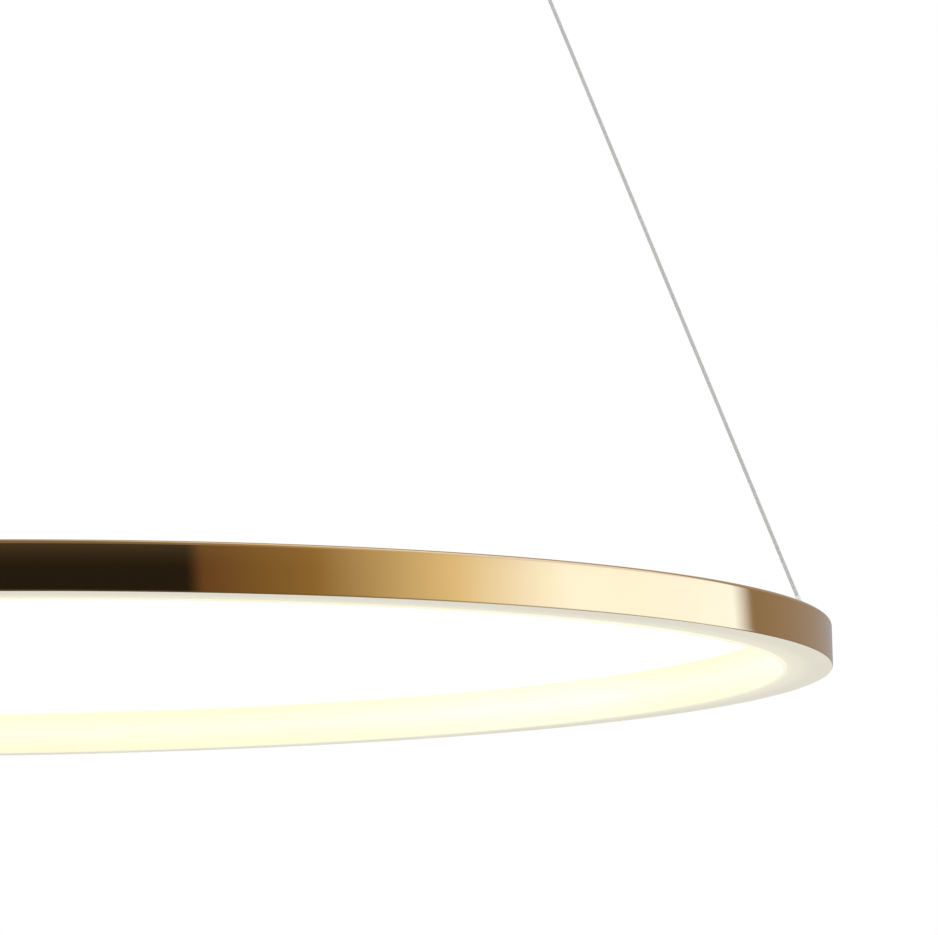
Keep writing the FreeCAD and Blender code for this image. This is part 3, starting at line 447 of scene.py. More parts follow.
def ring_place_group():
    """A place on the ring as its distance from the ring's axis and its height above the underside."""
    group, given, out = new_group("ring_place", [
        ("Vector", "NodeSocketVector", None),
    ], [
        ("Radius", "NodeSocketFloat"),
        ("Height", "NodeSocketFloat"),
    ])
    parts = add(group, "ShaderNodeSeparateXYZ")
    group.links.new(given.outputs["Vector"], parts.inputs["Vector"])
    across = math_node(group, "MULTIPLY", parts.outputs["X"], parts.outputs["X"])
    along = math_node(group, "MULTIPLY", parts.outputs["Y"], parts.outputs["Y"])
    radius = math_node(group, "SQRT", math_node(group, "ADD", across, along))
    height = math_node(group, "SUBTRACT", parts.outputs["Z"], RING_BOTTOM)
    group.links.new(radius, out.inputs["Radius"])
    group.links.new(height, out.inputs["Height"])
    return group


MOTTLE = mottle_group()
DRAWN_LINES = drawn_lines_group()
RING_PLACE = ring_place_group()


# ---------------------------------------------------------------- materials
def place_group(tree, group, vector, **settings):
    node = add(tree, "ShaderNodeGroup", node_tree=group)
    tree.links.new(vector, node.inputs["Vector"])
    for label, setting in settings.items():
        node.inputs[label.replace("_", " ")].default_value = setting
    return node


def finish(name, tones, rough, scale, metallic=0.0, bump=0.0, **shader_settings):
    """A material whose colour and roughness wander between two values, with a fine bump."""
    material = bpy.data.materials.new(name)
    material.use_nodes = True
    tree = material.node_tree
    shader = tree.nodes["Principled BSDF"]
    shader.inputs["Metallic"].default_value = metallic
    for label, setting in shader_settings.items():
        shader.inputs[label.replace("_", " ")].default_value = setting
    where = add(tree, "ShaderNodeTexCoord").outputs["Object"]
    mottle = place_group(tree, MOTTLE, where, Scale=scale,
                         Tone_A=(*tones[0], 1), Tone_B=(*tones[1], 1),
                         Rough_Low=rough[0], Rough_High=rough[1])
    tree.links.new(mottle.outputs["Color"], shader.inputs["Base Color"])
    tree.links.new(mottle.outputs["Roughness"], shader.inputs["Roughness"])
    if bump:
        add_bump(tree, shader, mottle.outputs["Height"], bump, 0.1 * MM)
    return material


def add_bump(tree, shader, height, strength, distance):
    bump = add(tree, "ShaderNodeBump")
    bump.inputs["Strength"].default_value = strength
    bump.inputs["Distance"].default_value = distance
    tree.links.new(height, bump.inputs["Height"])
    tree.links.new(bump.outputs["Normal"], shader.inputs["Normal"])


def parts_of(material):
    """A finish's tree, its shader and the place on the object."""
    tree = material.node_tree
    where = next(node for node in tree.nodes if node.type == "TEX_COORD").outputs["Object"]
    return tree, tree.nodes["Principled BSDF"], where


polished_gold = finish("polished_gold", ((0.88, 0.53, 0.22), (0.85, 0.50, 0.20)), (0.03, 0.06), 14,
                       metallic=1.0)
satin_gold = finish("satin_gold", ((0.93, 0.67, 0.38), (0.90, 0.62, 0.33)), (0.16, 0.24), 60,
                    metallic=1.0)
tree, shader, where = parts_of(satin_gold)
lines = place_group(tree, DRAWN_LINES, where, Fineness=2500.0, Strength=1.0)
add_bump(tree, shader, lines.outputs["Height"], 0.08, 0.05 * MM)

white_paint = finish("white_paint", ((0.91, 0.865, 0.735), (0.875, 0.86, 0.76)), (0.55, 0.68), 9,
                     Specular_IOR_Level=0.4, Emission_Strength=1.0)
tree, shader, where = parts_of(white_paint)
# Painted light: the paint itself glows by emission near the opal and fades out outwards, in place of the
# opal's light falling on it.
from_opal = math_node(tree, "SUBTRACT", place_group(tree, RING_PLACE, where).outputs["Radius"],
                      RING_RADIUS - RING_WIDTH + DIFFUSER_THICKNESS)
painted_glow_near_opal = colour_ramp(tree, math_node(tree, "DIVIDE", from_opal, PAINTED_GLOW_WIDTH), [
    (0.0, (0.14, 0.13, 0.10)),
    (0.3, (0.07, 0.07, 0.055)),
    (1.0, (0, 0, 0)),
], interpolation="EASE")
tree.links.new(painted_glow_near_opal, shader.inputs["Emission Color"])
orange_peel = add(tree, "ShaderNodeTexNoise")
orange_peel.inputs["Scale"].default_value = 900
tree.links.new(where, orange_peel.inputs["Vector"])
add_bump(tree, shader, orange_peel.outputs["Fac"], 0.15, 0.03 * MM)

# The opal glows a little whiter halfway up, where it is furthest from the channel's flanges.
opal = finish("opal_acrylic", ((0.33, 0.325, 0.26), (0.34, 0.335, 0.27)), (0.28, 0.36), 40,
              Emission_Strength=1.0)
tree, shader, where = parts_of(opal)
above_rim = math_node(tree, "ADD", place_group(tree, RING_PLACE, where).outputs["Height"], RIM_BELOW)
opal_rise = RING_TOP - RING_BOTTOM + RIM_ABOVE + RIM_BELOW
glow = colour_ramp(tree, math_node(tree, "DIVIDE", above_rim, opal_rise), [
    (0.00, (0.66, 0.65, 0.50)),
    (0.05, (0.67, 0.66, 0.41)),
    (0.50, (0.68, 0.67, 0.56)),
    (1.00, (0.67, 0.66, 0.41)),
])
tree.links.new(glow, shader.inputs["Emission Color"])

plated_steel = finish("plated_steel", ((0.74, 0.74, 0.73), (0.68, 0.68, 0.67)), (0.14, 0.26), 300,
                      metallic=1.0, bump=0.05)
zinc_steel = finish("zinc_steel", ((0.62, 0.62, 0.60), (0.52, 0.52, 0.51)), (0.5, 0.65), 120,
                    metallic=0.05, bump=0.1, Specular_IOR_Level=0.05)
spring_steel = finish("spring_steel", ((0.50, 0.50, 0.50), (0.38, 0.38, 0.39)), (0.22, 0.34), 500,
                      metallic=1.0)
wire_steel = finish("wire_steel", ((0.50, 0.50, 0.49), (0.40, 0.40, 0.40)), (0.45, 0.6), 400,
                    metallic=0.2)
satin_nickel = finish("satin_nickel", ((0.84, 0.84, 0.82), (0.76, 0.76, 0.74)), (0.5, 0.62), 350,
                      metallic=0.2, bump=0.04)
clear_jacket = finish("clear_jacket", ((0.72, 0.73, 0.72), (0.66, 0.67, 0.66)), (0.2, 0.3), 60,
                      Alpha=0.5, IOR=1.45, Specular_IOR_Level=0.3)
clear_plastic = finish("clear_plastic", ((0.90, 0.91, 0.90), (0.84, 0.85, 0.84)), (0.1, 0.2), 150,
                       Transmission_Weight=0.7, IOR=1.5)
circuit_strip = finish("circuit_strip", ((0.86, 0.86, 0.82), (0.80, 0.80, 0.76)), (0.35, 0.5), 80,
                       bump=0.05)
light_chip = finish("light_chip", ((0.93, 0.80, 0.34), (0.90, 0.74, 0.28)), (0.2, 0.3), 700,
                    Emission_Color=(1.0, 0.86, 0.55, 1), Emission_Strength=0.8)
black_rubber = finish("black_rubber", ((0.035, 0.035, 0.035), (0.055, 0.053, 0.05)), (0.6, 0.8), 400,
                      bump=0.25)
driver_case = finish("driver_case", ((0.84, 0.84, 0.81), (0.80, 0.80, 0.77)), (0.4, 0.55), 250,
                     bump=0.15)
terminal_plastic = finish("terminal_plastic", ((0.80, 0.80, 0.75), (0.75, 0.75, 0.70)), (0.35, 0.5), 300,
                          bump=0.1)
lead_insulation = finish("lead_insulation", ((0.72, 0.72, 0.69), (0.66, 0.66, 0.63)), (0.3, 0.42), 350,
                         bump=0.05)


# ---------------------------------------------------------------- light ring
SMOOTH = 8                      # steps in a rolled or rounded edge that shows

channel_outside = RING_RADIUS - BAND_THICKNESS
lip_inside = RING_RADIUS - BAND_LIP
channel_inside = channel_outside - CHANNEL_WALL
ring_inside = RING_RADIUS - RING_WIDTH
flange_end = ring_inside + DIFFUSER_THICKNESS

band = turned("polished_band", [
    (channel_outside, RING_BOTTOM + CHANNEL_WALL),
    (lip_inside, RING_BOTTOM + CHANNEL_WALL),
    (lip_inside, RING_BOTTOM),
    *arc(RING_RADIUS - BAND_LIP_DEPTH, RING_BOTTOM + BAND_LIP_RISE, BAND_LIP_DEPTH,
         -90, 0, SMOOTH, rise=BAND_LIP_RISE),
    *arc(RING_RADIUS - BAND_EDGE_DEPTH, RING_TOP - BAND_EDGE_RISE, BAND_EDGE_DEPTH,
         0, 90, SMOOTH, rise=BAND_EDGE_RISE),
    (channel_outside, RING_TOP),
], RING_STEPS)
finish_piece(band, polished_gold, "ring", "outer_band")

channel = turned("white_channel", [
    (flange_end, RING_BOTTOM),
    (lip_inside, RING_BOTTOM),
    (lip_inside, RING_BOTTOM + CHANNEL_WALL),
    (channel_outside, RING_BOTTOM + CHANNEL_WALL),
    (channel_outside, RING_TOP),
    (flange_end, RING_TOP),
    (flange_end, RING_TOP - CHANNEL_WALL),
    (channel_inside, RING_TOP - CHANNEL_WALL),
    (channel_inside, RING_BOTTOM + CHANNEL_WALL),
    (flange_end, RING_BOTTOM + CHANNEL_WALL),
], RING_STEPS)


def beside_the_opal(middle, item):
    """The two outer edges of the flanges' ends."""
    off_end = abs(math.hypot(middle.x, middle.y) - flange_end)
    off_face = min(abs(middle.z - RING_BOTTOM), abs(middle.z - RING_TOP))
    return max(off_end, off_face) < CHANNEL_EASING / 10


edit(channel)
pick(channel, "EDGE", beside_the_opal)
bpy.ops.mesh.bevel(offset=CHANNEL_EASING, segments=3, affect="EDGES")
leave_edit()
drill(channel, [place_at(PIVOT_RADIUS, azimuth(index), RING_TOP) for index in CABLES],
      SLEEVE_HOLE_RADIUS, 3 * CHANNEL_WALL)
finish_piece(channel, white_paint, "ring", "ring_housing")

edge = DIFFUSER_EDGE_RADIUS
back = DIFFUSER_BACK_RADIUS
leg_end = flange_end + CLIP_LEG_DEPTH
leg_low = RING_BOTTOM + CHANNEL_WALL
leg_high = RING_TOP - CHANNEL_WALL
opal_high = RING_TOP + RIM_ABOVE
opal_low = RING_BOTTOM - RIM_BELOW
opal_face = turned("opal_diffuser", [
    *arc(flange_end - back, opal_low + back, back, -90, 0, 3),
    (flange_end, leg_low),
    (leg_end, leg_low),
    (leg_end, leg_low + CLIP_LEG_THICKNESS),
    (flange_end, leg_low + CLIP_LEG_THICKNESS),
    (flange_end, leg_high - CLIP_LEG_THICKNESS),
    (leg_end, leg_high - CLIP_LEG_THICKNESS),
    (leg_end, leg_high),
    (flange_end, leg_high),
    *arc(flange_end - back, opal_high - back, back, 0, 90, 3),
    *arc(ring_inside + edge, opal_high - edge, edge, 90, 180, 4),
    *arc(ring_inside + edge, opal_low + edge, edge, 180, 270, 4),
], RING_STEPS)
finish_piece(opal_face, opal, "ring", "diffuser")


# ---------------------------------------------------------------- cables
OUTER_WIRES = 6
WIRE_RADIUS = CORE_RADIUS / 3
WIRE_SIDES = 8
LAY_LENGTH = 30 * MM            # one turn of the outer wires
LAY_STEPS = 16                  # in one turn
JACKET_SIDES = 24


def cable_wires():
    """Six wires laid round a straight one, upright with their lower end at the origin."""
    wires = []
    for step in range(OUTER_WIRES):
        place = place_at(2 * WIRE_RADIUS, 2 * math.pi * step / OUTER_WIRES)
        bpy.ops.mesh.primitive_circle_add(vertices=WIRE_SIDES, radius=WIRE_RADIUS, fill_type="NOTHING",
                                          location=place)
        wires.append(bpy.context.object)
    strand = join(wires, "cable_wires")
    bpy.ops.object.transform_apply(location=True, rotation=True, scale=True)
    turns = CABLE_LENGTH / LAY_LENGTH
    wind(strand, turns, CABLE_LENGTH, int(turns * LAY_STEPS))
    core = turned("cable_core", [(WIRE_RADIUS, 0), (WIRE_RADIUS, CABLE_LENGTH)], WIRE_SIDES, closed=False)
    strand = join([strand, core], "cable_wires")
    close_ends(strand)
    return strand


def cable_jacket():
    """Clear tube round the wires, upright with its lower end at the origin."""
    return turned("cable_jacket", [
        (CORE_RADIUS, 0),
        (CABLE_RADIUS, 0),
        (CABLE_RADIUS, CABLE_LENGTH),
        (CORE_RADIUS, CABLE_LENGTH),
    ], JACKET_SIDES)


# On the real light the cables shorten between the ring and the nozzles as the ring rises; here each is
# laid straight from its ball to its nozzle, at one length.
wires_model = cable_wires()
jacket_model = cable_jacket()
for index in CABLES:
    for model, name, material, slot in ((wires_model, "cable_wires", wire_steel, "steel_cable"),
                                        (jacket_model, "cable_jacket", clear_jacket, "clear_plastic")):
        part = lay(copy_of(model, f"{name}_{index}"), leaning(index),
                   place_at(PIVOT_RADIUS, azimuth(index), PIVOT_HEIGHT))
        finish_piece(part, material, "canopy", f"suspension_cable_{index}", angle=60)
        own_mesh(part)
for model in (wires_model, jacket_model):
    bpy.data.objects.remove(model)


# ---------------------------------------------------------------- cable fittings in the ring
def threads(radius, low, high):
    """Section points of a thread's ridges, from low to high."""
    root = radius - THREAD_DEPTH
    points = []
    for ridge in range(int((high - low) / THREAD_PITCH)):
        height = low + ridge * THREAD_PITCH
        points += [
            (radius, height),
            (radius, height + THREAD_CREST_END * THREAD_PITCH),
            (root, height + THREAD_ROOT_START * THREAD_PITCH),
            (root, height + THREAD_ROOT_END * THREAD_PITCH),
        ]
    return points


def ball_seat_bush():
    """Slotted bush with the ball's seat and a flared mouth; the ring's top is at the origin."""
    pivot = PIVOT_HEIGHT - RING_TOP
    mouth_turn = math.degrees(math.acos(MOUTH_RADIUS / BALL_SEAT_RADIUS))
    rounding = 0.25 * MM
    brow = 0.1 * MM             # broken edge round the flare
    brow_drop = 0.08 * MM
    throat_rise = 0.06 * MM     # broken edge between the flare and the seat
    break_width = 0.05 * MM
    bush = turned("ball_seat_bush", [
        (BALL_SEAT_RADIUS, -BUSH_LENGTH),
        (BUSH_SHANK_RADIUS - THREAD_DEPTH, -BUSH_LENGTH),
        *threads(BUSH_SHANK_RADIUS, THREAD_DEPTH - BUSH_LENGTH, -4 * THREAD_PITCH),
        (BUSH_SHANK_RADIUS, BUSH_HEAD_UNDER),
        (BUSH_HEAD_RADIUS, BUSH_HEAD_UNDER),
        *arc(BUSH_HEAD_RADIUS - rounding, BUSH_HEAD_TOP - rounding, rounding, 0, 90, 4),
        (FLARE_RADIUS + brow, BUSH_HEAD_TOP),
        (FLARE_RADIUS - break_width, BUSH_HEAD_TOP - brow_drop),
        (MOUTH_RADIUS + break_width, MOUTH_HEIGHT + throat_rise),
        *arc(0, pivot, BALL_SEAT_RADIUS, mouth_turn, 0, 8),
    ], FITTING_STEPS)
    bpy.ops.mesh.primitive_cube_add(size=1, location=(0, 0, BUSH_HEAD_TOP))
    slot = bpy.context.object
    slot.scale = (DRIVER_SLOT_WIDTH, 3 * BUSH_HEAD_RADIUS, 2 * DRIVER_SLOT_DEPTH)
    cut_out(bush, slot)
    return bush


def ball_end():
    """Ball and crimped sleeve on the cable's end, upright with the ball's centre at the origin."""
    rounding = 0.15 * MM
    bore = CABLE_RADIUS + 0.05 * MM
    squeezed = NECK_SLEEVE_RADIUS - CRIMP_DEPTH
    low_turn = -math.degrees(math.acos(bore / BALL_RADIUS))
    high_turn = math.degrees(math.acos(NECK_SLEEVE_RADIUS / BALL_RADIUS))
    points = arc(0, 0, BALL_RADIUS, low_turn, high_turn, 20)
    for middle in CRIMP_PLACES:
        points += [
            (NECK_SLEEVE_RADIUS, middle - CRIMP_HALF_WIDTH),
            (squeezed, middle - CRIMP_HALF_FLAT),
            (squeezed, middle + CRIMP_HALF_FLAT),
            (NECK_SLEEVE_RADIUS, middle + CRIMP_HALF_WIDTH),
        ]
    points += arc(NECK_SLEEVE_RADIUS - rounding, NECK_SLEEVE_LENGTH - rounding, rounding, 0, 90, 3)
    points.append((bore, NECK_SLEEVE_LENGTH))
    return turned("ball_end", points, BALL_STEPS)


bush_model = ball_seat_bush()
ball_model = ball_end()
for index in CABLES:
    bush = lay(copy_of(bush_model, f"ball_seat_bush_{index}"), (0, 0, azimuth(index)),
               place_at(PIVOT_RADIUS, azimuth(index), RING_TOP))
    finish_piece(bush, plated_steel, "ring", f"cable_anchor_{index}")
    ball = lay(copy_of(ball_model, f"ball_end_{index}"), leaning(index),
               place_at(PIVOT_RADIUS, azimuth(index), PIVOT_HEIGHT))
    finish_piece(ball, satin_nickel, f"ball_{index}", f"cable_end_{index}")
for model in (bush_model, ball_model):
    bpy.data.objects.remove(model)


# ---------------------------------------------------------------- canopy
rim = COVER_RIM_RADIUS
floor_middle = 2 * MM           # the floor is turned from here outwards, then its middle is closed
edge_centre = (COVER_RADIUS - COVER_EDGE_RADIUS, COVER_BOTTOM + COVER_EDGE_RADIUS)
cup = turned("canopy_cup", [
    (floor_middle, COVER_BOTTOM),
    *arc(*edge_centre, COVER_EDGE_RADIUS, -90, 0, SMOOTH),
    *arc(COVER_RADIUS - rim, COVER_TOP - rim, rim, 0, 90, 3),
    *arc(COVER_RADIUS - COVER_WALL + rim, COVER_TOP - rim, rim, 90, 180, 3),
    *arc(*edge_centre, COVER_EDGE_RADIUS - COVER_WALL, 0, -90, SMOOTH),
    (floor_middle, COVER_BOTTOM + COVER_WALL),
], COVER_STEPS, closed=False)
close_ends(cup)
drill(cup, [place_at(EXIT_RADIUS, azimuth(index), COVER_BOTTOM) for index in CABLES],
      EXIT_HOLE_RADIUS, 4 * COVER_WALL)
drill(cup, [place_at(COVER_RADIUS, between(index), SIDE_SCREW_HEIGHT) for index in CABLES],
      SIDE_HOLE_RADIUS, 6 * COVER_WALL,
      turn=lambda place: (0, math.pi / 2, math.atan2(place.y, place.x)))
finish_piece(cup, polished_gold, "canopy", "canopy_cover")


def thumb_screw():
    """Knurled side screw, upright, with the cover's face at the origin."""
    facets = 40
    knurl_depth = 0.22 * MM
    corner = 0.55 * MM
    dish = 0.5 * MM
    tip = 0.4 * MM
    screw = turned("thumb_screw", [
        (SIDE_SCREW_RADIUS - tip, -SIDE_SCREW_LENGTH),
        (SIDE_SCREW_RADIUS, tip - SIDE_SCREW_LENGTH),
        (SIDE_SCREW_RADIUS, 0),
        (THUMB_HEAD_RADIUS - corner, 0),
        (THUMB_HEAD_RADIUS, corner),
        (THUMB_HEAD_RADIUS, THUMB_HEAD_LENGTH - corner),
        *arc(THUMB_HEAD_RADIUS - corner, THUMB_HEAD_LENGTH - corner, corner, 30, 90, 3),
        (THUMB_HEAD_RADIUS - 3 * corner, THUMB_HEAD_LENGTH),
        (THUMB_HEAD_RADIUS - 4 * corner, THUMB_HEAD_LENGTH - dish),
    ], facets, closed=False)
    close_ends(screw)
    knurl(screw, THUMB_HEAD_RADIUS, corner, THUMB_HEAD_LENGTH - corner, facets, knurl_depth)
    return screw


def neck_nut():
    """Knurled ring nut under the cover, with its lower face at the origin."""
    facets = 72
    knurl_depth = 0.25 * MM
    corner = 0.6 * MM
    nut = turned("neck_nut", [
        (GRIPPER_NECK_RADIUS + corner, 0),
        *arc(GRIPPER_NUT_RADIUS - corner, corner, corner, -90, 0, 4),
        (GRIPPER_NUT_RADIUS, GRIPPER_NUT_HEIGHT - corner),
        (GRIPPER_NUT_RADIUS - corner / 2, GRIPPER_NUT_HEIGHT),
        (GRIPPER_NECK_RADIUS, GRIPPER_NUT_HEIGHT),
        (GRIPPER_NECK_RADIUS, corner),
    ], facets)
    knurl(nut, GRIPPER_NUT_RADIUS, corner, GRIPPER_NUT_HEIGHT - corner, facets, knurl_depth)
    return nut


def cable_gripper():
    """Gripper with a threaded neck: its lower end is at the origin."""
    rounding = 0.75 * MM
    mouth = 0.2 * MM            # broken edge round the guide
    cap_low = GRIPPER_HEIGHT - GRIPPER_CAP
    return turned("cable_gripper", [
        (GRIPPER_GUIDE_RADIUS + mouth, 0),
        (GRIPPER_NECK_RADIUS - THREAD_DEPTH, 0),
        *threads(GRIPPER_NECK_RADIUS, THREAD_DEPTH, GRIPPER_NECK_LENGTH - THREAD_PITCH),
        (GRIPPER_NECK_RADIUS, GRIPPER_NECK_LENGTH),
        (GRIPPER_RADIUS, GRIPPER_NECK_LENGTH),
        *arc(GRIPPER_RADIUS - rounding, GRIPPER_HEIGHT - rounding, rounding, 0, 90, 4),
        (GRIPPER_CAP_BORE, GRIPPER_HEIGHT),
        (GRIPPER_CAP_BORE, cap_low),
        (WEDGE_HIGH_RADIUS, cap_low),
        (WEDGE_HIGH_RADIUS, WEDGE_HIGH),
        (WEDGE_LOW_RADIUS, WEDGE_LOW),
        (COLLAR_ROOM_RADIUS, WEDGE_LOW),
        (COLLAR_ROOM_RADIUS, GRIPPER_GUIDE_TOP),
        (GRIPPER_GUIDE_RADIUS, GRIPPER_GUIDE_TOP),
        (GRIPPER_GUIDE_RADIUS, mouth),
    ], FITTING_STEPS)


def plunger_spring(low, high):
    """Open coil round the cable, between the nozzle's cage and the gripper's cap."""
    wire_sides = 10
    steps_a_turn = 32
    bpy.ops.mesh.primitive_circle_add(vertices=wire_sides, radius=SPRING_WIRE_RADIUS, fill_type="NOTHING",
                                      location=(SPRING_RADIUS, 0, low + SPRING_WIRE_RADIUS),
                                      rotation=(math.pi / 2, 0, 0))
    coil = bpy.context.object
    bpy.ops.object.transform_apply(location=True, rotation=True, scale=True)
    wind(coil, SPRING_TURNS, high - low - 2 * SPRING_WIRE_RADIUS, SPRING_TURNS * steps_a_turn)
    close_ends(coil)
    return coil


spring_low, spring_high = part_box("plunger_spring_1")
spring_model = plunger_spring(spring_low.z, spring_high.z)
screw_model = thumb_screw()
nut_model = neck_nut()
gripper_model = cable_gripper()
screws = []
nuts = []
for index in CABLES:
    screws.append(lay(copy_of(screw_model, "thumb_screw"), (0, math.pi / 2, between(index)),
                      place_at(COVER_RADIUS, between(index), SIDE_SCREW_HEIGHT)))
    exit_place = place_at(EXIT_RADIUS, azimuth(index))
    nuts.append(lay(copy_of(nut_model, "neck_nut"),
                    place=exit_place + Vector((0, 0, COVER_BOTTOM - GRIPPER_NUT_HEIGHT))))
    gripper = lay(copy_of(gripper_model, f"cable_gripper_{index}"),
                  place=exit_place + Vector((0, 0, COVER_BOTTOM + COVER_WALL - GRIPPER_NECK_LENGTH)))
    finish_piece(gripper, satin_gold, "canopy", f"gripper_body_{index}")
    coil = lay(copy_of(spring_model, f"press_spring_{index}"), (0, 0, azimuth(index)), exit_place)
    finish_piece(coil, spring_steel, "canopy", f"plunger_spring_{index}", angle=60)
    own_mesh(coil)
finish_piece(join(screws, "thumb_screws"), satin_gold, "canopy", "cover_screws")
finish_piece(join(nuts, "neck_nuts"), satin_gold, "canopy", "gripper_nuts")
for model in (screw_model, nut_model, gripper_model, spring_model):
    bpy.data.objects.remove(model)


# ---------------------------------------------------------------- finishes of the solids that stay
KEPT_FINISHES = {
    "led_strip": circuit_strip,
    "led_chips": light_chip,
    "insulating_washers": clear_plastic,
    "anchor_nuts": plated_steel,
    "ring_leads": lead_insulation,
    "ceiling_plate": zinc_steel,
    "entry_grommet": black_rubber,
    "cable_stops": plated_steel,
    "led_driver": driver_case,
    "earth_screw": plated_steel,
    "driver_screws": plated_steel,
    "terminal_block": terminal_plastic,
    "terminal_screws": plated_steel,
    "supply_leads": lead_insulation,
    "output_leads": clear_plastic,
    "release_plunger": satin_gold,
    "locking_balls": plated_steel,
    "cable_tail": wire_steel,
}
for name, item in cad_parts.items():
    if item.hide_render:
        continue
    kind = name if name in KEPT_FINISHES else name.rsplit("_", 1)[0]
    item.data.materials.clear()
    item.data.materials.append(KEPT_FINISHES[kind])


# ---------------------------------------------------------------- floor, light and camera
FLOOR_HEIGHT = -2.6
FLOOR_SIZE = 160
FLOOR_COLOUR = (0.90, 0.89, 0.86, 1)
FLOOR_WHITE_SHARE = 0.75        # how far the camera sees plain white in place of the lit floor

bpy.ops.mesh.primitive_plane_add(size=FLOOR_SIZE, location=(0, 0, FLOOR_HEIGHT))
floor = bpy.context.object
floor.name = "studio_floor"
pale = bpy.data.materials.new("pale_floor")
pale.use_nodes = True
tree = pale.node_tree
tree.nodes.clear()
surface = add(tree, "ShaderNodeBsdfDiffuse")
surface.inputs["Color"].default_value = FLOOR_COLOUR
white = add(tree, "ShaderNodeEmission")
white.inputs["Color"].default_value = (1, 1, 1, 1)
seen = add(tree, "ShaderNodeMixShader")
from_below = add(tree, "ShaderNodeMixShader")
rays = add(tree, "ShaderNodeLightPath")
out = add(tree, "ShaderNodeOutputMaterial")
tree.links.new(math_node(tree, "MULTIPLY", rays.outputs["Is Camera Ray"], FLOOR_WHITE_SHARE),
               seen.inputs["Fac"])
tree.links.new(surface.outputs["BSDF"], seen.inputs[1])
tree.links.new(white.outputs["Emission"], seen.inputs[2])
tree.links.new(add(tree, "ShaderNodeNewGeometry").outputs["Backfacing"], from_below.inputs["Fac"])
tree.links.new(seen.outputs["Shader"], from_below.inputs[1])
tree.links.new(add(tree, "ShaderNodeBsdfTransparent").outputs["BSDF"], from_below.inputs[2])
tree.links.new(from_below.outputs["Shader"], out.inputs["Surface"])
floor.data.materials.append(pale)
floor.visible_glossy = False

# What the polished metal mirrors, by the direction's turn from the front (0) round to the back (1):
# a dark room in front, warm walls that brighten towards a wide window on each side, and a dim wall at
# the back. Overhead and down towards the floor it fades to greys.
ROOM = [
    (0.150, (0.02, 0.02, 0.02)),
    (0.160, (0.15, 0.10, 0.06)),
    (0.240, (0.30, 0.25, 0.12)),
    (0.350, (0.85, 0.95, 0.90)),
    (0.450, (1.20, 1.75, 3.00)),
    (0.640, (1.20, 1.75, 3.00)),
    (0.670, (0.30, 0.28, 0.23)),
    (1.000, (0.45, 0.45, 0.50)),
]
OVERHEAD_COLOUR = (0.53, 0.53, 0.56)
OVERHEAD_SHARE = 0.42
OVERHEAD_ANGLES = (8, 22)       # degrees above level, from where it starts to where it is full
FLOORWARD_COLOUR = (0.13, 0.13, 0.125)
FLOORWARD_SHARE = 0.72
FLOORWARD_ANGLES = (-5, -22)
PLAIN_LIGHT = (0.95, 0.95, 0.94, 1)

world = bpy.data.worlds.new("studio")
bpy.context.scene.world = world
world.use_nodes = True
tree = world.node_tree
tree.nodes.clear()


def blend_beyond(room, rise, angles, share, colour):
    """Blends a colour over the room's, up to a share of it, between two angles from level."""
    amount = add(tree, "ShaderNodeMapRange", interpolation_type="SMOOTHSTEP")
    amount.inputs["From Min"].default_value = math.sin(math.radians(angles[0]))
    amount.inputs["From Max"].default_value = math.sin(math.radians(angles[1]))
    amount.inputs["To Max"].default_value = share
    tree.links.new(rise, amount.inputs["Value"])
    blended = add(tree, "ShaderNodeMix", data_type="RGBA")
    blended.inputs["B"].default_value = (*colour, 1)
    tree.links.new(amount.outputs["Result"], blended.inputs["Factor"])
    tree.links.new(room, blended.inputs["A"])
    return blended.outputs["Result"]


direction = add(tree, "ShaderNodeSeparateXYZ")
tree.links.new(add(tree, "ShaderNodeTexCoord").outputs["Generated"], direction.inputs["Vector"])
aside = math_node(tree, "ABSOLUTE", direction.outputs["X"])
ahead = math_node(tree, "MULTIPLY", direction.outputs["Y"], -1.0)
turn_share = math_node(tree, "DIVIDE", math_node(tree, "ARCTAN2", aside, ahead), math.pi)
room = colour_ramp(tree, turn_share, ROOM)
rise = direction.outputs["Z"]
room = blend_beyond(room, rise, OVERHEAD_ANGLES, OVERHEAD_SHARE, OVERHEAD_COLOUR)
room = blend_beyond(room, rise, FLOORWARD_ANGLES, FLOORWARD_SHARE, FLOORWARD_COLOUR)

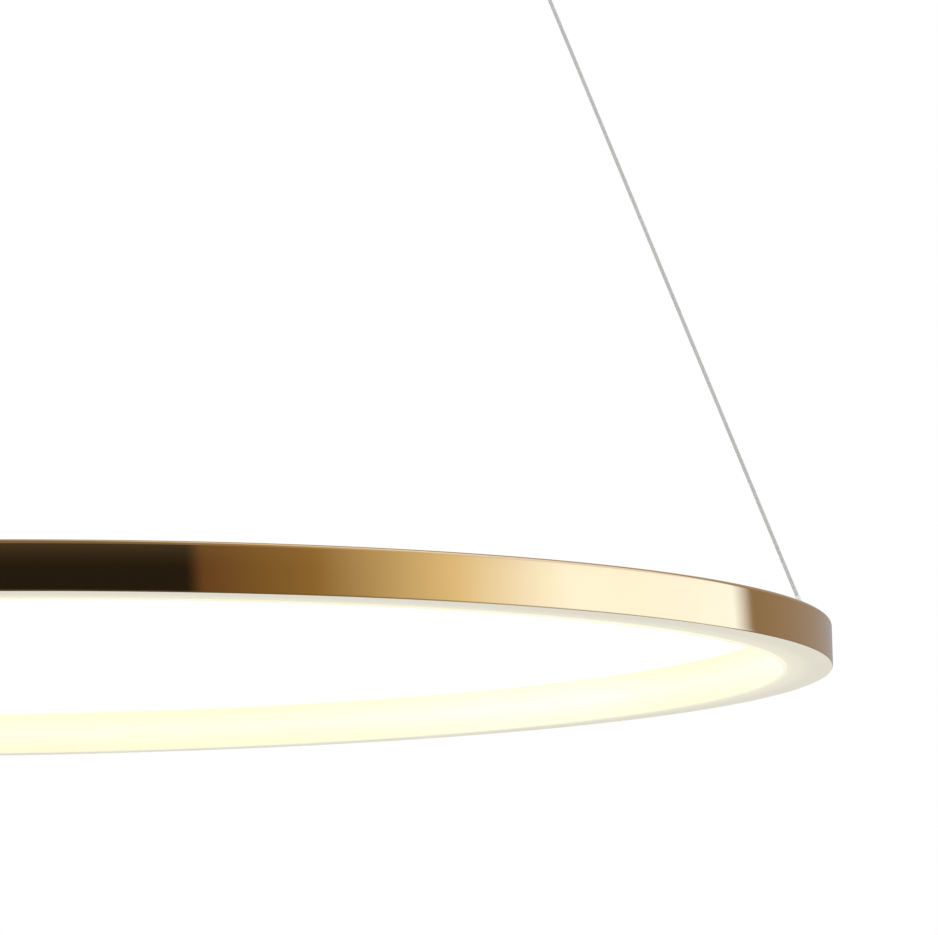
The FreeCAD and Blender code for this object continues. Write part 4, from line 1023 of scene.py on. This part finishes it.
# Metal mirrors the room, matt surfaces get plain light, and the background shows as white.
rays = add(tree, "ShaderNodeLightPath")
lit = add(tree, "ShaderNodeMix", data_type="RGBA")
lit.inputs["A"].default_value = PLAIN_LIGHT
tree.links.new(rays.outputs["Is Glossy Ray"], lit.inputs["Factor"])
tree.links.new(room, lit.inputs["B"])
shown = add(tree, "ShaderNodeMix", data_type="RGBA")
shown.inputs["B"].default_value = (1, 1, 1, 1)
straight = math_node(tree, "MAXIMUM", rays.outputs["Is Camera Ray"], rays.outputs["Is Transmission Ray"])
tree.links.new(straight, shown.inputs["Factor"])
tree.links.new(lit.outputs["Result"], shown.inputs["A"])
sky = add(tree, "ShaderNodeBackground")
out = add(tree, "ShaderNodeOutputWorld")
tree.links.new(shown.outputs["Result"], sky.inputs["Color"])
tree.links.new(sky.outputs["Background"], out.inputs["Surface"])

LAMPS_AIM = Vector((0, 0, -0.8))


def soft_lamp(name, place, size, power):
    """A wide lamp that lights matt surfaces only and isn't mirrored."""
    bpy.ops.object.light_add(type="AREA", location=place)
    lamp = bpy.context.object
    lamp.name = name
    lamp.data.shape = "SQUARE"
    lamp.data.size = size
    lamp.data.energy = power
    lamp.rotation_euler = (LAMPS_AIM - Vector(place)).to_track_quat("-Z", "Y").to_euler()
    lamp.visible_camera = False
    lamp.visible_glossy = False
    lamp.visible_transmission = False


soft_lamp("key_light", (-2.6, -2.4, 1.4), 2.2, 28)
soft_lamp("fill_light", (3.0, -1.0, 0.4), 2.4, 16)

# The photograph's camera: a little below the ring, looking up at it, turned right and rolled slightly.
# Turns are in radians.
CAMERA_BACK = 2.2356
CAMERA_BELOW = 0.2053           # the ring's underside
FOCAL_PIXELS = 4275.7
IMAGE_WIDTH = 938
YAW = 0.1184
PITCH = 0.1418
ROLL = -0.0203
SENSOR = 36
CLIP_END = 300

forward = Vector((math.sin(YAW) * math.cos(PITCH), math.cos(YAW) * math.cos(PITCH), math.sin(PITCH)))
right = Vector((math.cos(YAW), -math.sin(YAW), 0))
upward = right.cross(forward)
rolled_right = math.cos(ROLL) * right + math.sin(ROLL) * upward
rolled_up = -math.sin(ROLL) * right + math.cos(ROLL) * upward
bpy.ops.object.camera_add(location=(0, -CAMERA_BACK, RING_BOTTOM - CAMERA_BELOW))
camera = bpy.context.object
camera.name = "photo_camera"
camera.data.sensor_width = SENSOR
camera.data.sensor_fit = "HORIZONTAL"
camera.data.lens = FOCAL_PIXELS * SENSOR / IMAGE_WIDTH
camera.data.clip_end = CLIP_END
camera.rotation_euler = Matrix((rolled_right, rolled_up, -forward)).transposed().to_euler()
bpy.context.scene.camera = camera

bpy.context.scene.view_settings.view_transform = "Standard"
